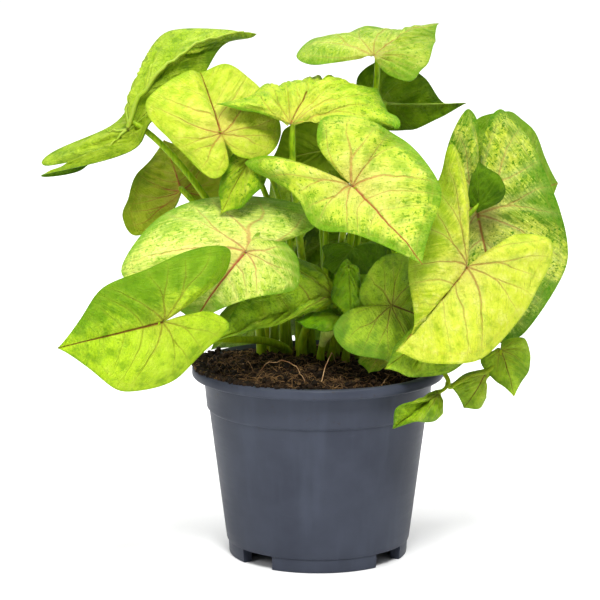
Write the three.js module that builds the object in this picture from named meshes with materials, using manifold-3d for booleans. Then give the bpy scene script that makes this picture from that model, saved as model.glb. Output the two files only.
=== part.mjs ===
// Potted syngonium: a round nursery pot filled with soil, a clump of leaf stalks that each carry
// one arrow-shaped blade, and a short runner that hangs over the rim. Millimetres, +Z up.
import * as THREE from 'three';
import { mergeVertices } from 'three/addons/utils/BufferGeometryUtils.js';
import Module from 'manifold-3d';

const wasm = await Module();
wasm.setup();

// Pot
const POT_HEIGHT = 91;
const RIM_RADIUS = 60;
const RIM_HEIGHT = 5;
const BAND_TOP_RADIUS = 54.4;
const BAND_FOOT_RADIUS = 53;
const BAND_FOOT_Z = 71.5;
const BODY_TOP_RADIUS = 51.9;
const BODY_FOOT_RADIUS = 43.8;
const BODY_FOOT_Z = 6.5;
const POT_WALL = 1.3;
const POT_FLOOR = 1.6;
const POT_SEGMENTS = 36;
const FOOT_RADIUS = 42.6;
const FOOT_WIDTH = 4.5;
const FOOT_GAP_ANGLES = [-43, 52, 137, 227];
const FOOT_GAP_WIDTH = 18.5;
const DRAIN_HOLES = 6;
const DRAIN_RADIUS = 3;
const DRAIN_CIRCLE = 28;

// Soil
const SOIL_EDGE_Z = 87;
const SOIL_MOUND = 5.6;
const SOIL_GAP = 0.3;
const SOIL_RINGS = 5;
const SOIL_SPOKES = 30;
const HOLE_DEPTH = 14;
const HOLE_CLEARANCE = 0.7;
const HOLE_SIDES = 6;
const STALK_RISE = 7;

// Leaves
const BLADE_THICKNESS = 0.8;
const STALK = { large: { foot: 2.1, tip: 1.4 }, small: { foot: 1.7, tip: 1.1 } };
const STALK_SIDES = 5;
const STALK_STEPS = 7;
const RUNNER_RADIUS = 1.3;
const HUB = 0.14;
const WAVE_HEIGHT = 0.045;
const WAVE_RATE = 5;
const WAVE_SHIFT = { left: 0, right: 2 };
const WELD = 0.01;

// The pot stands off the middle of the box the plant fills; the origin is the middle of that box.
const POT_AXIS = [5, 9];

// Flat half outline of a blade, from the stalk joint round the lobe to the tip: [along, across].
const HALF_OUTLINE = [
  [0, 0], [-0.22, 0.03], [-0.5, 0.12], [-0.62, 0.36], [-0.45, 0.56],
  [0, 0.66], [0.4, 0.52], [0.78, 0.22], [1, 0],
];

// Where each named point of a leaf lies on that outline, as the angle from the midrib.
const POINT_ANGLE = { nearTip: 18, shoulder: 45, widest: 90, flank: 129, lobe: 150, inner: 166.5 };

// Every point is in millimetres from the foot of the pot's axis. left and right are as seen on the
// upper side with the tip pointing away; arch is how far each part of the blade bulges, and how high
// its rim waves.
const LEAVES = [
  {
    name: 'leaf_front_centre', size: 'large', colour: 'lime', foot: [8, 8],
    sinus: [15, -48, 183], tip: [46, -70, 151],
    left: { shoulder: [55, -52, 182], widest: [39, -36, 202], flank: [21, -37, 212], lobe: [3, -38, 213] },
    right: { shoulder: [15, -68, 164], widest: [-3, -58, 167], flank: [-16, -42, 182], lobe: [-34, -32, 192] },
    arch: { midrib: 0.08, left: 0.12, right: 0.1, leftLobe: 0.1, rightLobe: 0.1 },
    bend: [[8, 12, 135], [13, -18, 176]],
  },
  {
    name: 'leaf_front_left', size: 'large', colour: 'mid', foot: [-14, 12],
    sinus: [-70, -72, 125], tip: [-116, -86, 116],
    left: { shoulder: [-88, -88, 97], widest: [-65, -78, 100], flank: [-48, -68, 114], lobe: [-41, -62, 121] },
    right: { shoulder: [-97, -78, 141], widest: [-76, -68, 149], flank: [-54, -56, 156], lobe: [-40, -50, 154] },
    arch: { midrib: 0.04, left: 0.1, right: 0.1, wave: 0 },
    bend: [[-24, 4, 108], [-50, -36, 104]],
  },
  {
    name: 'leaf_middle_left', size: 'large', colour: 'cream', foot: [-21, 17],
    sinus: [-33, -44, 152], tip: [-57, -50, 121],
    left: { shoulder: [-30, -56, 133], widest: [-10, -50, 137], flank: [-10, -44, 149], lobe: [-18, -40, 158] },
    right: { shoulder: [-91, -40, 143], widest: [-69, -22, 167], flank: [-41, -20, 175], lobe: [-6, -26, 170] },
    arch: { midrib: 0.06, left: 0.12, right: 0.12, leftLobe: 0.15 },
  },
  {
    name: 'leaf_upper_yellow', size: 'large', colour: 'yellow', foot: [-16, 22],
    sinus: [-45, -26, 204], tip: [-55, -4, 230],
    left: {
      nearTip: [-61, -8, 231], shoulder: [-79, -16, 219], widest: [-68, -28, 201],
      flank: [-58, -32, 192], lobe: [-48, -36, 185],
    },
    right: {
      nearTip: [-43, -4, 234], shoulder: [-31, -4, 227], widest: [-18, -14, 208],
      flank: [-19, -22, 199], lobe: [-26, -28, 193],
    },
    arch: { midrib: 0.05, left: 0.06, right: 0.1 },
  },
  {
    name: 'leaf_top_arched', size: 'large', colour: 'lime', foot: [-3, 12],
    sinus: [-13, -31, 209], tip: [7, 34, 219],
    left: {
      nearTip: [-3, 26, 222], shoulder: [-15, 10, 224], widest: [-26, -6, 223],
      flank: [-37, -18, 220], lobe: [-46, -26, 217], inner: [-31, -30, 215],
    },
    right: {
      nearTip: [13, 28, 221], shoulder: [23, 16, 221], widest: [31, -4, 216],
      flank: [35, -18, 211], lobe: [34, -26, 206], inner: [12, -24, 217],
    },
    arch: { midrib: 0.17, left: 0.12, right: 0.15, leftLobe: 0.05, rightLobe: 0.05 },
    bend: [[-6, -4, 140], [-14, -24, 180]],
  },
  {
    name: 'leaf_top_right', size: 'large', colour: 'lime', foot: [9, 20],
    sinus: [26, 6, 237], tip: [57, 24, 251],
    left: { shoulder: [39, 40, 247], widest: [19, 40, 246], flank: [-1, 34, 243], lobe: [-10, 16, 235] },
    right: { shoulder: [55, 10, 243], widest: [51, -4, 236], flank: [46, -10, 229], lobe: [42, -12, 227] },
    arch: { midrib: 0.08, left: 0.1, right: 0.1 },
    bend: [[12, 15, 150], [30, 22, 205]],
  },
  {
    name: 'leaf_upper_left', size: 'large', colour: 'olive', foot: [-27, 12],
    sinus: [-89, 4, 202], tip: [-29, 22, 245],
    left: {
      nearTip: [-44, 30, 247], shoulder: [-71, 33, 246], widest: [-87, 28, 224],
      flank: [-100, 22, 203], lobe: [-131, 14, 185], inner: [-108, 6, 189],
    },
    right: {
      nearTip: [-44, 18, 241], shoulder: [-56, 8, 227], widest: [-79, -2, 206],
      flank: [-96, -6, 190], lobe: [-129, -6, 181], inner: [-112, -2, 184],
    },
    arch: { midrib: 0.22, left: 0.04, right: 0.04, leftLobe: 0.02, rightLobe: 0.02 },
    bend: [[-28, 10, 140], [-62, -4, 192]],
  },
  {
    name: 'leaf_left_behind', size: 'large', colour: 'olive', foot: [-24, 24],
    sinus: [-65, 16, 172], tip: [-74, 34, 194],
    left: {
      shoulder: [-54, 26, 189], widest: [-46, 20, 180], flank: [-45, 14, 172],
      lobe: [-49, 12, 165], inner: [-58, 12, 166],
    },
    right: {
      shoulder: [-86, 30, 179], widest: [-91, 24, 169], flank: [-93, 20, 157],
      lobe: [-86, 18, 150], inner: [-72, 14, 159],
    },
    arch: { midrib: 0.06 },
  },
  {
    name: 'leaf_hanging_small', size: 'small', colour: 'mid', foot: [-9, 17],
    sinus: [-29, -20, 195], tip: [-45, -34, 168],
    left: { widest: [-26, -34, 181], flank: [-23, -26, 186], lobe: [-23, -20, 190] },
    right: { widest: [-42, -26, 190], flank: [-38, -22, 196], lobe: [-32, -16, 198] },
    arch: { midrib: 0.06 },
  },
  {
    name: 'leaf_under_top', size: 'small', colour: 'mid', foot: [3, 17],
    sinus: [4, -4, 194], tip: [-22, -14, 190],
    left: { widest: [0, -12, 185], flank: [8, -8, 185], lobe: [13, -6, 189] },
    right: { shoulder: [-16, -10, 204], widest: [-4, -6, 209], flank: [5, -2, 209], lobe: [12, 0, 204] },
    arch: { midrib: 0.06 },
  },
  {
    name: 'leaf_dark_right_top', size: 'large', colour: 'deep', foot: [15, 26],
    sinus: [30, 32, 212], tip: [72, 50, 210],
    left: {
      nearTip: [59, 48, 203], shoulder: [48, 40, 199], widest: [34, 30, 199],
      flank: [23, 28, 201], lobe: [18, 28, 205],
    },
    right: {
      nearTip: [62, 50, 210], shoulder: [52, 46, 222], widest: [35, 42, 232],
      flank: [24, 40, 229], lobe: [19, 36, 223],
    },
    arch: { midrib: 0.06 },
  },
  {
    name: 'leaf_right_mottled', size: 'large', colour: 'mid', foot: [27, 18],
    sinus: [75, 2, 163], tip: [88, 6, 99],
    left: {
      nearTip: [99, 6, 106], shoulder: [117, 2, 136], widest: [114, 8, 164],
      flank: [101, 14, 195], lobe: [87, 14, 211], inner: [79, 11, 202],
    },
    right: {
      shoulder: [58, 0, 127], widest: [57, -2, 158], flank: [61, 4, 196],
      lobe: [70, 8, 212], inner: [75, 7, 202],
    },
    arch: { midrib: 0.05, left: 0.08, right: 0.05 },
  },
  {
    name: 'leaf_right_behind', size: 'small', colour: 'cream', foot: [29, 26],
    sinus: [87, 22, 167], tip: [116, 34, 173],
    left: { widest: [90, 24, 209], flank: [77, 22, 206], lobe: [72, 20, 196] },
    right: { widest: [97, 24, 137], flank: [83, 20, 138], lobe: [75, 18, 150] },
  },
  {
    name: 'leaf_right_curled', size: 'small', colour: 'deep', foot: [22, 12],
    sinus: [75, -8, 168], tip: [75, -6, 189],
    left: { widest: [70, -8, 173], flank: [71, -8, 168], lobe: [73, -8, 167] },
    right: { shoulder: [84, -10, 183], widest: [87, -12, 177], flank: [84, -12, 170], lobe: [78, -10, 167] },
    arch: { midrib: 0.1 },
    bend: [[34, 8, 142], [60, -18, 152]],
  },
  {
    name: 'leaf_right_front', size: 'large', colour: 'yellow', foot: [20, 3],
    sinus: [68, -36, 144], tip: [35, -54, 108],
    left: {
      nearTip: [50, -56, 103], shoulder: [71, -52, 103], widest: [94, -38, 122],
      flank: [106, -26, 142], lobe: [108, -22, 154],
    },
    right: {
      nearTip: [43, -50, 118], shoulder: [41, -44, 142], widest: [46, -38, 166],
      flank: [56, -30, 187], lobe: [61, -26, 199],
    },
    arch: { midrib: 0.05, left: 0.1, right: 0.1 },
  },
  {
    name: 'leaf_right_under', size: 'small', colour: 'olive', foot: [30, 8],
    sinus: [57, -30, 116], tip: [30, -50, 99],
    left: { shoulder: [42, -49, 95], widest: [60, -44, 96], flank: [70, -34, 102], lobe: [75, -28, 111] },
    right: { widest: [44, -40, 118], flank: [54, -28, 128], lobe: [62, -24, 128] },
    arch: { wave: 0 },
  },
  {
    name: 'leaf_centre_right', size: 'small', colour: 'mid', foot: [13, -5],
    sinus: [34, -30, 125], tip: [52, -22, 116],
    left: { shoulder: [50, -20, 137], widest: [39, -24, 148], flank: [26, -28, 145], lobe: [19, -32, 133] },
    right: { shoulder: [47, -34, 100], widest: [30, -44, 102], flank: [14, -46, 106], lobe: [7, -44, 116] },
    arch: { midrib: 0.04, left: 0.07, right: 0.07, leftLobe: 0.05, rightLobe: 0.05 },
  },
  {
    name: 'leaf_centre_right_small', size: 'small', colour: 'lime', foot: [26, -4],
    sinus: [35, -26, 109], tip: [23, -40, 95],
    left: { widest: [34, -34, 100], flank: [39, -30, 103], lobe: [40, -28, 106] },
    right: { widest: [20, -30, 104], flank: [22, -26, 109], lobe: [28, -24, 112] },
  },
  {
    name: 'leaf_centre_narrow', size: 'small', colour: 'mid', foot: [6, -1],
    sinus: [14, -26, 143], tip: [15, -36, 118],
    left: { shoulder: [19, -32, 128], widest: [19, -28, 136], flank: [18, -26, 142], lobe: [15, -25, 144] },
    right: { shoulder: [6, -32, 128], widest: [7, -28, 135], flank: [9, -26, 141], lobe: [11, -25, 144] },
    arch: { midrib: 0.05 },
    bend: [[8, -8, 112], [14, -27, 134]],
  },
  {
    name: 'leaf_centre_dark', size: 'small', colour: 'deep', foot: [14, 13],
    sinus: [16, -14, 149], tip: [6, -24, 139],
    left: { widest: [20, -19, 138], flank: [29, -13, 138], lobe: [32, -10, 149] },
    right: { widest: [3, -16, 145], flank: [2, -12, 150], lobe: [7, -13, 151] },
  },
  {
    name: 'leaf_low_left', size: 'large', colour: 'mid', foot: [-8, 7],
    sinus: [7, -26, 128], tip: [-49, -46, 111],
    left: { shoulder: [-21, -42, 118], widest: [-1, -32, 123], flank: [5, -28, 125], lobe: [9, -26, 126] },
    right: { shoulder: [-24, -26, 145], widest: [-3, -20, 143], flank: [5, -22, 137], lobe: [9, -24, 132] },
    arch: { midrib: 0.03 },
  },
  {
    name: 'leaf_low_centre', size: 'small', colour: 'mid', foot: [1, -6],
    sinus: [9, -24, 119], tip: [-11, -36, 119],
    left: { widest: [3, -36, 114], flank: [10, -32, 115], lobe: [13, -28, 117] },
    right: { widest: [3, -22, 121], flank: [9, -21, 122], lobe: [13, -21, 121] },
    arch: { midrib: 0.05 },
  },
  {
    name: 'leaf_back_low_left', size: 'small', colour: 'deep', foot: [-14, 32],
    sinus: [-14, 36, 112], tip: [-53, 61, 86],
    left: { widest: [-36, 44, 119], flank: [-20, 38, 130], lobe: [-10, 34, 131] },
    right: { widest: [-14, 64, 91], flank: [-3, 58, 96], lobe: [1, 48, 104] },
  },

  {
    name: 'leaf_back_left', size: 'small', colour: 'deep', foot: [-8, 28],
    sinus: [-37, 27, 204], tip: [-57, 57, 166],
    left: { widest: [-65, 40, 198], flank: [-61, 31, 213], lobe: [-50, 27, 218] },
    right: { widest: [-32, 46, 176], flank: [-24, 36, 192], lobe: [-27, 31, 205] },
    arch: { midrib: 0.06 },
  },
  {
    name: 'leaf_back_centre', size: 'small', colour: 'olive', foot: [4, 29],
    sinus: [-2, 26, 188], tip: [-8, 61, 122],
    left: { widest: [15, 44, 162], flank: [13, 32, 184], lobe: [6, 26, 197] },
    right: { widest: [-24, 46, 160], flank: [-22, 32, 184], lobe: [-14, 26, 197] },
  },
  {
    name: 'leaf_back_right', size: 'small', colour: 'mid', foot: [21, 24],
    sinus: [51, 30, 158], tip: [51, 66, 110],
    left: { widest: [29, 50, 150], flank: [31, 40, 169], lobe: [39, 34, 177] },
    right: { widest: [68, 48, 138], flank: [66, 38, 160], lobe: [59, 32, 170] },
  },
  {
    name: 'leaf_back_low', size: 'small', colour: 'deep', foot: [9, 33],
    sinus: [13, 40, 144], tip: [5, 72, 86],
    left: { widest: [-13, 62, 103], flank: [-15, 46, 132], lobe: [-5, 38, 149] },
    right: { widest: [33, 60, 110], flank: [38, 50, 130], lobe: [31, 42, 149] },
  },
];

// The runner's own small leaflets, and the stem that carries them over the rim.
const RUNNER_LEAVES = [
  {
    size: 'small', sinus: [55, -34, 84], tip: [34, -54, 72],
    left: { shoulder: [44, -54, 75], widest: [54, -46, 74], flank: [57, -40, 76], lobe: [57, -36, 80] },
    right: {
      nearTip: [35, -54, 81], shoulder: [43, -52, 84], widest: [48, -44, 85],
      flank: [54, -36, 86], lobe: [58, -32, 86],
    },
    arch: { midrib: 0.05 },
  },
  {
    size: 'small', sinus: [78, -18, 90], tip: [68, -24, 75],
    left: {
      nearTip: [75, -22, 74], shoulder: [78, -18, 77], widest: [77, -16, 83],
      flank: [79, -16, 87], lobe: [81, -16, 89],
    },
    right: { shoulder: [63, -26, 84], widest: [62, -26, 87], flank: [69, -22, 91], lobe: [76, -18, 92] },
  },
  {
    size: 'small', sinus: [86, -12, 100], tip: [92, -18, 79],
    left: { shoulder: [99, -12, 90], widest: [100, -8, 98], flank: [97, -8, 105], lobe: [92, -8, 105] },
    right: { shoulder: [84, -18, 86], widest: [77, -16, 93], flank: [77, -14, 97], lobe: [81, -12, 99] },
    arch: { midrib: 0.06 },
  },
];
const RUNNER_FOOT = [40, -12];
const RUNNER_PATH = [
  [40, -12, 73], [40, -12, 80], [40, -12, 88.5], [41.5, -13.5, 94], [48, -19, 97], [55, -24, 96], [60, -28, 90],
  [61, -29, 86],
  [66, -26, 88], [72, -22, 90], [79, -18, 91], [84, -15, 95], [86, -12, 100],
];
const RUNNER_FORK = [[60, -28, 88], [59, -31, 86], [55, -34, 84]];

const GRID = { large: { spokes: 24, rings: 4 }, small: { spokes: 18, rings: 3 } };

const COLOURS = {
  pot: 0x4e5360, soil: 0x2f2416, lime: 0xa5c63a, yellow: 0xc4d63e, cream: 0xbcc878,
  mid: 0x6f9a35, olive: 0x6d7a3a, deep: 0x3a5a22,
};

const vec = (p) => new THREE.Vector3(...p);

// Smooth curve through equally spaced rows of numbers, at t from 0 to 1.
function through(rows, t) {
  const last = rows.length - 1;
  const x = Math.min(Math.max(t, 0) * last, last - 1e-9);
  const i = Math.floor(x);
  const f = x - i;
  const slope = (k) => rows[0].map((_, c) => {
    if (k === 0) return rows[1][c] - rows[0][c];
    if (k === last) return rows[last][c] - rows[last - 1][c];
    return (rows[k + 1][c] - rows[k - 1][c]) / 2;
  });
  const from = slope(i);
  const to = slope(i + 1);
  return rows[i].map((v, c) => v * (2 * f ** 3 - 3 * f ** 2 + 1) + from[c] * (f ** 3 - 2 * f ** 2 + f)
    + rows[i + 1][c] * (3 * f ** 2 - 2 * f ** 3) + to[c] * (f ** 3 - f ** 2));
}

// Radius of the flat outline for an angle from the midrib.
const OUTLINE_STEPS = 400;
const outlineRadii = Array.from({ length: OUTLINE_STEPS + 1 }, (_, i) => {
  const [a, b] = through(HALF_OUTLINE, 0.05 + 0.95 * i / OUTLINE_STEPS);
  return { angle: Math.atan2(b, a) * 180 / Math.PI, radius: Math.hypot(a, b) };
}).reverse();

function outlineRadius(angle) {
  const k = outlineRadii.findIndex((entry) => entry.angle >= angle);
  if (k < 0) return outlineRadii[OUTLINE_STEPS].radius;
  if (k === 0) return outlineRadii[0].radius;
  const low = outlineRadii[k - 1];
  const high = outlineRadii[k];
  const f = (angle - low.angle) / (high.angle - low.angle || 1);
  return low.radius + f * (high.radius - low.radius);
}

// Direction from the stalk joint for each angle on one side, per unit of flat radius.
function sideKnots(leaf, side) {
  const at = (angle, p) => ({ angle, v: vec(p).sub(vec(leaf.sinus)).divideScalar(outlineRadius(angle)) });
  const knots = [{ angle: 0, v: vec(leaf.tip).sub(vec(leaf.sinus)) }];
  for (const [key, p] of Object.entries(leaf[side])) knots.push(at(POINT_ANGLE[key], p));
  const find = (angle) => knots.find((k) => k.angle === angle)?.v;
  if (!find(45)) knots.push({ angle: 45, v: find(0).clone().add(find(90)).multiplyScalar(Math.SQRT1_2) });
  const back = find(166.5)
    ? find(166.5).clone().add(find(166.5).clone().sub(find(150)).multiplyScalar(0.6))
    : find(150).clone().addScaledVector(find(90), -0.5).divideScalar(0.866);
  knots.push({ angle: 180, v: back });
  return knots.sort((p, q) => p.angle - q.angle);
}

function along(knots, angle) {
  let i = knots.findIndex((k) => k.angle > angle) - 1;
  if (i < 0) i = knots.length - 2;
  const rise = (k) => knots[k + 1].v.clone().sub(knots[k].v).divideScalar(knots[k + 1].angle - knots[k].angle);
  const slope = (k) => {
    if (k === 0) return rise(0);
    if (k === knots.length - 1) return rise(k - 1);
    const before = knots[k].angle - knots[k - 1].angle;
    const after = knots[k + 1].angle - knots[k].angle;
    return rise(k - 1).multiplyScalar(after).addScaledVector(rise(k), before).divideScalar(before + after);
  };
  const h = knots[i + 1].angle - knots[i].angle;
  const f = (angle - knots[i].angle) / h;
  return knots[i].v.clone().multiplyScalar(2 * f ** 3 - 3 * f ** 2 + 1)
    .addScaledVector(slope(i), h * (f ** 3 - 2 * f ** 2 + f))
    .addScaledVector(knots[i + 1].v, 3 * f ** 2 - 2 * f ** 3)
    .addScaledVector(slope(i + 1), h * (f ** 3 - f ** 2));
}

// A function from a point of the flat blade, [along, across], to the bent blade in space.
function bladeSurface(leaf) {
  const sinus = vec(leaf.sinus);
  const midrib = vec(leaf.tip).sub(sinus);
  const knots = { left: sideKnots(leaf, 'left'), right: sideKnots(leaf, 'right') };
  const toLeft = vec(leaf.left.widest).sub(sinus);
  const toRight = vec(leaf.right.widest).sub(sinus);
  const whole = toRight.clone().sub(toLeft).cross(midrib).normalize();
  const normals = {
    left: midrib.clone().cross(toLeft).normalize(),
    right: toRight.clone().cross(midrib).normalize(),
  };
  const usual = { midrib: 0.06, left: 0.1, right: 0.1, leftLobe: 0.08, rightLobe: 0.08, wave: WAVE_HEIGHT };
  const arch = { ...usual, ...leaf.arch };
  return ([a, b]) => {
    const side = b >= 0 ? 'left' : 'right';
    const radius = Math.hypot(a, b);
    const turn = Math.abs(Math.atan2(b, a));
    const angle = turn * 180 / Math.PI;
    const forward = Math.cos(turn) ** 2;
    const direction = along(knots[side], angle);
    const edge = Math.max(outlineRadius(angle), radius, 1e-6);
    const out = radius / edge;
    const lengthways = angle < 90 ? arch.midrib : arch[`${side}Lobe`];
    const bulge = lengthways * forward + arch[side] * (1 - forward);
    const normal = whole.clone().multiplyScalar(forward).addScaledVector(normals[side], 1 - forward).normalize();
    const wave = arch.wave * Math.sin(WAVE_RATE * turn + sinus.x + WAVE_SHIFT[side]) * Math.sin(turn) * out ** 3;
    return sinus.clone().addScaledVector(direction, radius)
      .addScaledVector(normal, (bulge * 4 * out * (1 - out) + wave) * edge * direction.length());
  };
}

// Closed two-faced mesh from the bent blade: rings round the hub, split alike on both faces.
function bladeGeometry(leaf) {
  const { spokes, rings } = GRID[leaf.size];
  const surface = bladeSurface(leaf);
  const half = spokes / 2;
  const middle = [];
  const flat = [];
  for (let i = 0; i < spokes; i += 1) {
    const onLeft = i <= half;
    const [a, b] = through(HALF_OUTLINE, onLeft ? i / half : (spokes - i) / half);
    for (let j = 1; j <= rings; j += 1) {
      const f = j / rings;
      flat.push([HUB + f * (a - HUB), f * (onLeft ? b : -b)]);
    }
  }
  for (const q of flat) middle.push(surface(q));
  const hub = surface([HUB, 0]);
  const centre = spokes * rings;
  middle.push(hub);
  const cell = (i, j) => (i % spokes) * rings + j;
  const faces = [];
  for (let i = 0; i < spokes; i += 1) {
    faces.push([centre, cell(i, 0), cell(i + 1, 0)]);
    for (let j = 0; j + 1 < rings; j += 1) {
      faces.push([cell(i, j), cell(i, j + 1), cell(i + 1, j + 1)]);
      faces.push([cell(i, j), cell(i + 1, j + 1), cell(i + 1, j)]);
    }
  }
  const normals = middle.map(() => new THREE.Vector3());
  for (const [p, q, r] of faces) {
    const n = middle[q].clone().sub(middle[p]).cross(middle[r].clone().sub(middle[p]));
    for (const k of [p, q, r]) normals[k].add(n);
  }
  const count = middle.length;
  const points = [];
  for (const sign of [1, -1]) {
    middle.forEach((p, k) => {
      points.push(p.clone().addScaledVector(normals[k].clone().normalize(), sign * BLADE_THICKNESS / 2));
    });
  }
  const index = [];
  for (const [p, q, r] of faces) index.push(p, q, r, p + count, r + count, q + count);
  for (let i = 0; i < spokes; i += 1) {
    const p = cell(i, rings - 1);
    const q = cell(i + 1, rings - 1);
    index.push(p, p + count, q, q, p + count, q + count);
  }
  return solidFrom(points, index);
}

// Round stalk with closed ends along a list of points, tapering from the first to the last.
function stalkGeometry(path, footRadius, tipRadius, sides = STALK_SIDES) {
  const points = [];
  const index = [];
  let across = new THREE.Vector3(1, 0, 0);
  path.forEach((p, k) => {
    const dir = path[Math.min(k + 1, path.length - 1)].clone().sub(path[Math.max(k - 1, 0)]).normalize();
    across = across.clone().addScaledVector(dir, -across.dot(dir)).normalize();
    const up = dir.clone().cross(across);
    const radius = THREE.MathUtils.lerp(footRadius, tipRadius, k / (path.length - 1));
    for (let s = 0; s < sides; s += 1) {
      const turn = s / sides * Math.PI * 2;
      points.push(p.clone().addScaledVector(across, radius * Math.cos(turn))
        .addScaledVector(up, radius * Math.sin(turn)));
    }
  });
  for (let k = 0; k + 1 < path.length; k += 1) {
    for (let s = 0; s < sides; s += 1) {
      const p = k * sides + s;
      const q = k * sides + (s + 1) % sides;
      index.push(p, q, p + sides, q, q + sides, p + sides);
    }
  }
  const end = (path.length - 1) * sides;
  for (let s = 1; s + 1 < sides; s += 1) index.push(0, s + 1, s, end, end + s, end + s + 1);
  return solidFrom(points, index);
}

function solidFrom(points, index) {
  const numbers = points.flatMap((p) => [p.x, p.y, p.z]);
  return new wasm.Manifold(new wasm.Mesh({
    numProp: 3, vertProperties: new Float32Array(numbers), triVerts: new Uint32Array(index),
  }));
}

function solidFromGeometry(geometry) {
  const bare = new THREE.BufferGeometry();
  bare.setAttribute('position', geometry.attributes.position);
  if (geometry.index) bare.setIndex(geometry.index);
  const merged = mergeVertices(bare, WELD);
  return new wasm.Manifold(new wasm.Mesh({
    numProp: 3,
    vertProperties: new Float32Array(merged.attributes.position.array),
    triVerts: new Uint32Array(dropFlat(merged.index.array)),
  }));
}

function dropFlat(index) {
  const kept = [];
  for (let i = 0; i < index.length; i += 3) {
    const [p, q, r] = [index[i], index[i + 1], index[i + 2]];
    if (p !== q && q !== r && r !== p) kept.push(p, q, r);
  }
  return kept;
}

// Joining can leave specks and slivers of a few thousandths of a millimetre: the body itself is the largest
// piece, and corners closer than the weld distance become one.
function mainBody(solid) {
  let [body] = solid.decompose().sort((p, q) => q.volume() - p.volume());
  const mesh = body.getMesh();
  const geometry = new THREE.BufferGeometry();
  geometry.setAttribute('position', new THREE.BufferAttribute(new Float32Array(mesh.vertProperties), 3));
  geometry.setIndex([...mesh.triVerts]);
  [body] = solidFromGeometry(geometry).decompose().sort((p, q) => q.volume() - p.volume());
  return body;
}

function node(name, solid, colour, roughness) {
  const mesh = mainBody(mainBody(solid)).getMesh();
  const geometry = new THREE.BufferGeometry();
  geometry.setAttribute('position', new THREE.BufferAttribute(new Float32Array(mesh.vertProperties), 3));
  geometry.setIndex([...mesh.triVerts]);
  geometry.translate(POT_AXIS[0], POT_AXIS[1], 0);
  geometry.computeVertexNormals();
  const material = new THREE.MeshStandardMaterial({ color: colour, roughness, metalness: 0 });
  const object = new THREE.Mesh(geometry, material);
  object.name = name;
  return object;
}

// Turned body from a closed profile of [radius, height] rows.
function turned(profile, segments) {
  const closed = [...profile, profile[0]].map(([r, z]) => new THREE.Vector2(r, z));
  const geometry = new THREE.LatheGeometry(closed, segments);
  geometry.rotateX(Math.PI / 2);
  return solidFromGeometry(geometry);
}

function pot() {
  const rimFoot = POT_HEIGHT - RIM_HEIGHT;
  const shell = turned([
    [0, BODY_FOOT_Z], [BODY_FOOT_RADIUS - 1, BODY_FOOT_Z], [BODY_FOOT_RADIUS, BODY_FOOT_Z + 1],
    [BODY_TOP_RADIUS, BAND_FOOT_Z - 1.2], [BAND_FOOT_RADIUS, BAND_FOOT_Z], [BAND_TOP_RADIUS, rimFoot],
    [RIM_RADIUS - 0.5, rimFoot], [RIM_RADIUS, rimFoot + 0.5], [RIM_RADIUS, POT_HEIGHT - 1],
    [RIM_RADIUS - 1, POT_HEIGHT], [RIM_RADIUS - 4.2, POT_HEIGHT], [BAND_TOP_RADIUS - POT_WALL, rimFoot],
    [BODY_TOP_RADIUS - POT_WALL, BAND_FOOT_Z - 1.2],
    [BODY_FOOT_RADIUS - POT_WALL, BODY_FOOT_Z + POT_FLOOR], [0, BODY_FOOT_Z + POT_FLOOR],
  ], POT_SEGMENTS);
  let feet = turned([
    [FOOT_RADIUS - FOOT_WIDTH, 0], [FOOT_RADIUS - 0.4, 0], [FOOT_RADIUS, 0.4],
    [BODY_FOOT_RADIUS - 0.8, BODY_FOOT_Z + 0.5], [FOOT_RADIUS - FOOT_WIDTH, BODY_FOOT_Z + 0.5],
  ], POT_SEGMENTS);
  for (const angle of FOOT_GAP_ANGLES) {
    const wedge = new THREE.BoxGeometry(30, FOOT_GAP_WIDTH, BODY_FOOT_Z * 2);
    wedge.translate(FOOT_RADIUS, 0, 0);
    wedge.rotateZ((angle - 90) * Math.PI / 180);
    feet = feet.subtract(solidFromGeometry(wedge));
  }
  let body = shell.add(feet);
  for (let i = 0; i < DRAIN_HOLES; i += 1) {
    const turn = (i + 0.5) / DRAIN_HOLES * Math.PI * 2;
    const drain = new THREE.CylinderGeometry(DRAIN_RADIUS, DRAIN_RADIUS, POT_FLOOR * 4, 8);
    drain.rotateX(Math.PI / 2);
    drain.translate(DRAIN_CIRCLE * Math.cos(turn), DRAIN_CIRCLE * Math.sin(turn), BODY_FOOT_Z + POT_FLOOR / 2);
    body = body.subtract(solidFromGeometry(drain));
  }
  return body;
}

// Height of the soil: a low mound with gentle lumps, level at the pot's wall.
function soilHeight(x, y) {
  const out = Math.min(Math.hypot(x, y) / BAND_TOP_RADIUS, 1);
  const lumps = Math.sin(x * 0.21 + 1.3) * Math.cos(y * 0.24 - 0.4) + 0.6 * Math.sin(x * 0.47 - y * 0.38);
  return SOIL_EDGE_Z + (1 - out ** 2) * (SOIL_MOUND + 0.6 * lumps);
}

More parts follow.
